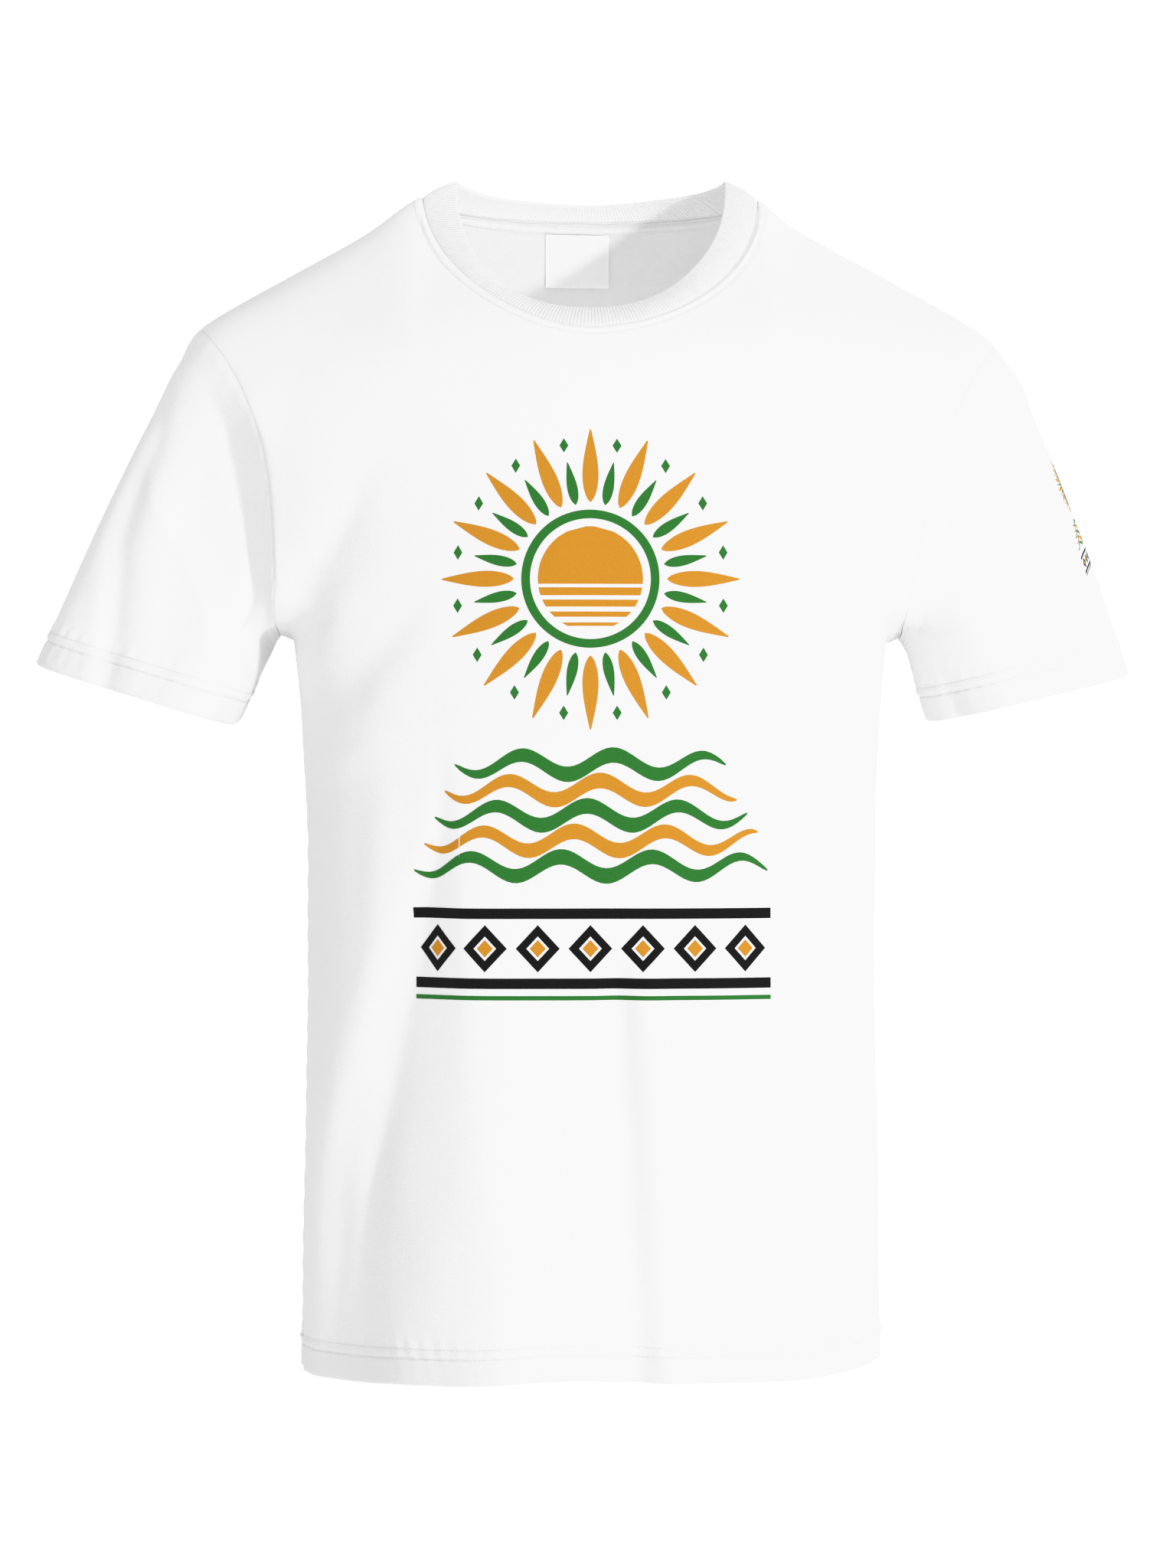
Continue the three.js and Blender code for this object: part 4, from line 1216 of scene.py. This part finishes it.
def ray(angle, near, far, wide, cell):
    # a blade: half width wide sin(pi t^0.7), its ends cut small
    t, s = lattice(far - near, 2 * wide, cell / 1.5)
    half = wide * (0.08 + 0.92 * np.sin(np.pi * t ** 0.7))
    away, side = lerp(near, far, t), (2 * s - 1) * half
    return away * np.sin(angle) + side * np.cos(angle), away * np.cos(angle) - side * np.sin(angle)


def wave(half, z, swing, thick, shift, cell):
    # z = swing sin(2 pi x / 52 + shift), thinning to its ends as (1 - (x / half)^2)
    s, t = lattice(2 * half, thick, cell)
    x = (2 * s - 1) * half
    lens = 0.12 + 0.88 * np.maximum(1 - (x / half) ** 2, 0) ** 0.6
    return x, z + swing * np.sin(2 * np.pi * x / 52 + shift) + (t - 0.5) * thick * lens


def bar(x0, x1, z0, z1, cell):
    # a rectangle between two corners
    s, t = lattice(x1 - x0, z1 - z0, cell)
    return lerp(x0, x1, s), lerp(z0, z1, t)


def diamond(x, z, wide, high, cell, hollow=0.0):
    # corners joined round by |x| / wide + |z| / high = share, the share from hollow to 1
    t = lattice(wide * (1 - hollow), 8, cell)[0][:, :1]
    a = np.linspace(0, 4, 4 * max(2, int(np.ceil(wide / cell))) + 1)[None]
    share = lerp(max(hollow, 0.02), 1, t)
    quarter, f = np.floor(a) % 4, a % 1
    px = np.select([quarter == 0, quarter == 1, quarter == 2], [f, 1 - f, -f], f - 1)
    pz = np.select([quarter == 0, quarter == 1, quarter == 2], [1 - f, -f, f - 1], f)
    return x + share * wide * px, z + share * high * pz


def printMotifs(cell):
    # everything by colour, measured from the sun's middle
    sixteen = np.pi / 8 * np.arange(16)
    between = sixteen + np.pi / 16
    slices = ((29.9, -3), (-5, -9.5), (-12, -16), (-18.8, -21.8), (-25, -27))
    orange = [sunStrip(30, top, low, cell) for top, low in slices]
    orange += [ray(angle, 44, 86, 4.6, cell) for angle in sixteen]
    green = [ringBand(34.5, 39.5, start, start + np.pi / 2, cell) for start in sixteen[::4]]
    green += [ray(angle, 43, 68, 3.0, cell) for angle in between]
    green += [diamond(78 * np.sin(angle), 78 * np.cos(angle), 2.6, 4.2, cell) for angle in between]
    for k in range(5):
        (green if k % 2 == 0 else orange).append(wave(78 + 6.5 * k, -106 - 14.5 * k, 5.5, 9.0, 0.9 * k, cell))
    black = [bar(-106, 106, z, z + 6, cell) for z in (-194, -234)]
    black += [diamond(x, -211, 12.5, 13.5, cell, 0.52) for x in np.linspace(-90, 90, 7)]
    orange += [diamond(x, -211, 4.6, 5.0, cell) for x in np.linspace(-90, 90, 7)]
    green += [bar(-106, 106, -240.5, -238, cell)]
    return {"green": green, "orange": orange, "black": black}


def printOn(name, cloth, across, down, settings):
    # each motif's grid is laid on the cloth's outer face by the cloth's own measure, then stood off by lift
    face = slice(0, cloth["faceRows"])
    points, outside, across, down = cloth["points"][face], cloth["outward"][face], across[face], down[face]
    made = []
    for colour, motifs in printMotifs(settings["cell"] / settings["scale"]).items():
        allPoints, allUv, allFaces, count = [], [], [], 0
        for x, z in motifs:
            a = settings["middle"][0] + settings["across"] * x.ravel() * settings["scale"]
            d = settings["middle"][1] - z.ravel() * settings["scale"]
            r, c = placeOn(across, down, a, d)
            n = unit(lookUp(outside, r, c))
            p = lookUp(points, r, c) + n * settings["lift"]
            faces = gridFaces(*x.shape)
            middle = p[faces[len(faces) // 2]]
            if np.cross(middle[2] - middle[0], middle[3] - middle[1]) @ n[0] < 0:
                faces = faces[:, ::-1]
            allFaces.append(faces + count)
            allPoints.append(p)
            allUv.append(np.stack([a, -d], -1))
            count += len(p)
        obj = makeMesh(name + colour.capitalize(), np.concatenate(allPoints), np.concatenate(allFaces),
                       np.concatenate(allUv), inks[colour])
        made.append(thicken(obj, settings["thick"]))
        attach(obj, "root")
    return made


# on the chest across from the centre line and level with the ground as it hangs; on the sleeve round
# from its outer line towards the front, and down from the shoulder tip
roundSleeve = wayAlong(leftSleeve["points"], 1)
roundSleeve = roundSleeve - roundSleeve[:, [leftSleeve["outerColumn"]]]
chestInk = printOn("chestPrint", front, front["uv"][..., 0], -front["form"][..., 2], chestPrint)
sleeveInk = printOn("sleevePrint", leftSleeve, roundSleeve, wayAlong(leftSleeve["points"]), sleevePrint)
print("prints made:", sum(len(o.data.polygons) for o in chestInk + sleeveInk), "faces")
# camera, light and backdrop

stage = {"floorZ": -1.45, "radius": 7.5, "corner": 2.0, "high": 5.5}


def makeBackdrop():
    # a wide bowl: flat floor, quarter-round corner, upright wall, turned round the middle
    corner = stage["corner"]
    flat = np.linspace(0, stage["radius"] - corner, 12)
    bend = np.linspace(0, np.pi / 2, 16)[1:]
    wall = np.linspace(corner, stage["high"], 6)[1:]
    radius = np.concatenate([flat, flat[-1] + corner * np.sin(bend), stage["radius"] + 0 * wall])[:, None]
    high = np.concatenate([0 * flat, corner * (1 - np.cos(bend)), wall])[:, None] + stage["floorZ"]
    turn = 2 * np.pi * np.arange(96) / 96
    p = np.stack([radius * np.cos(turn), radius * np.sin(turn), high + 0 * turn], -1) / mm
    return makeMesh("studioFloor", p, gridFaces(len(radius), 96, ring=True)[:, ::-1], merge=True)


backdrop = makeBackdrop()
paint, tree = newMaterial("mattWhitePaint")  # a painted backdrop, lit evenly on its own
finishMaterial(tree, {"Base Color": hexColour("#a0a0a0"), "Roughness": 1.0,
                      "Emission Color": hexColour("#ffffff"), "Emission Strength": 2.0})
paint.cycles.emission_sampling = "NONE"
backdrop.data.materials.append(paint)
backdrop.visible_diffuse = False  # the room light below is what falls on the cloth
backdrop.visible_shadow = False

# room light, brightest from the right and from below in front: low + (high - low) (0.5 + 0.5 d)^1.5,
# d being how far a direction agrees with the brightest one
roomLight = {"towards": (0.2, -0.88, -0.42), "low": 0.68, "high": 1.17}


def makeRoomLight():
    world = bpy.data.worlds.new("studio")
    bpy.context.scene.world = world
    world.use_nodes = True
    tree = world.node_tree
    place = addNode(tree, "TexCoord", {})["Generated"]
    towards = unit(np.array(roomLight["towards"])).tolist()
    agree = addNode(tree, "VectorMath", {"operation": "DOT_PRODUCT", 0: place, 1: towards})["Value"]
    half = addNode(tree, "Math", {"operation": "MULTIPLY_ADD", 0: agree, 1: 0.5, 2: 0.5})
    share = addNode(tree, "Math", {"operation": "POWER", 0: half[0], 1: 1.5})
    strength = addNode(tree, "Math", {"operation": "MULTIPLY_ADD", 0: share[0],
                                      1: roomLight["high"] - roomLight["low"], 2: roomLight["low"]})
    background = tree.nodes["Background"]
    tree.links.new(strength[0], background.inputs["Strength"])
    background.inputs["Color"].default_value = hexColour("#ffffff")


# place and aim in metres, how wide, and how many watts
lights = {
    "keyLight": ((2.3, -3.03, -0.12), (0, 0, -0.3), 0.3, 72),
    "backLight": ((2.5, 2.3, 1.0), (0, 0, -0.3), 0.9, 26),
    # what comes through the thin cloth and lifts the inside of the neck
    "insideLight": ((-0.005, 0.03, -0.22), (0, 0.055, -0.01), 0.08, 0.2),
}
view = {"place": (-0.0014, -3.0, -0.355), "lens": 115.9, "sensor": 36, "far": 60}


def softLight(name, place, aim, size, power):
    light = bpy.data.lights.new(name, "AREA")
    light.shape = "DISK"
    light.size = size
    light.energy = power
    obj = bpy.data.objects.new(name, light)
    bpy.context.scene.collection.objects.link(obj)
    obj.location = place
    obj.rotation_euler = (Vector(aim) - Vector(place)).to_track_quat("-Z", "Y").to_euler()
    obj.visible_camera = name != "insideLight"


makeRoomLight()
for name, settings in lights.items():
    softLight(name, *settings)

camera = bpy.data.objects.new("camera", bpy.data.cameras.new("camera"))
bpy.context.scene.collection.objects.link(camera)
camera.location = view["place"]
camera.rotation_euler = (np.pi / 2, 0, 0)  # level, looking along +Y
camera.data.lens = view["lens"]
camera.data.sensor_width = view["sensor"]
camera.data.clip_end = view["far"]
bpy.context.scene.camera = camera


def setTone():
    # plain colours with a soft shoulder: straight to 0.7, then bending over towards white at 2
    settings = bpy.context.scene.view_settings
    settings.view_transform = "Standard"
    settings.use_curve_mapping = True
    tone = settings.curve_mapping
    tone.white_level = (2, 2, 2)
    for place in ((0.36, 0.71), (0.41, 0.795), (0.47, 0.885), (0.53, 0.93), (0.63, 0.95), (0.8, 0.975)):
        tone.curves[3].points.new(*place)
    tone.update()


setTone()
print("stage set")
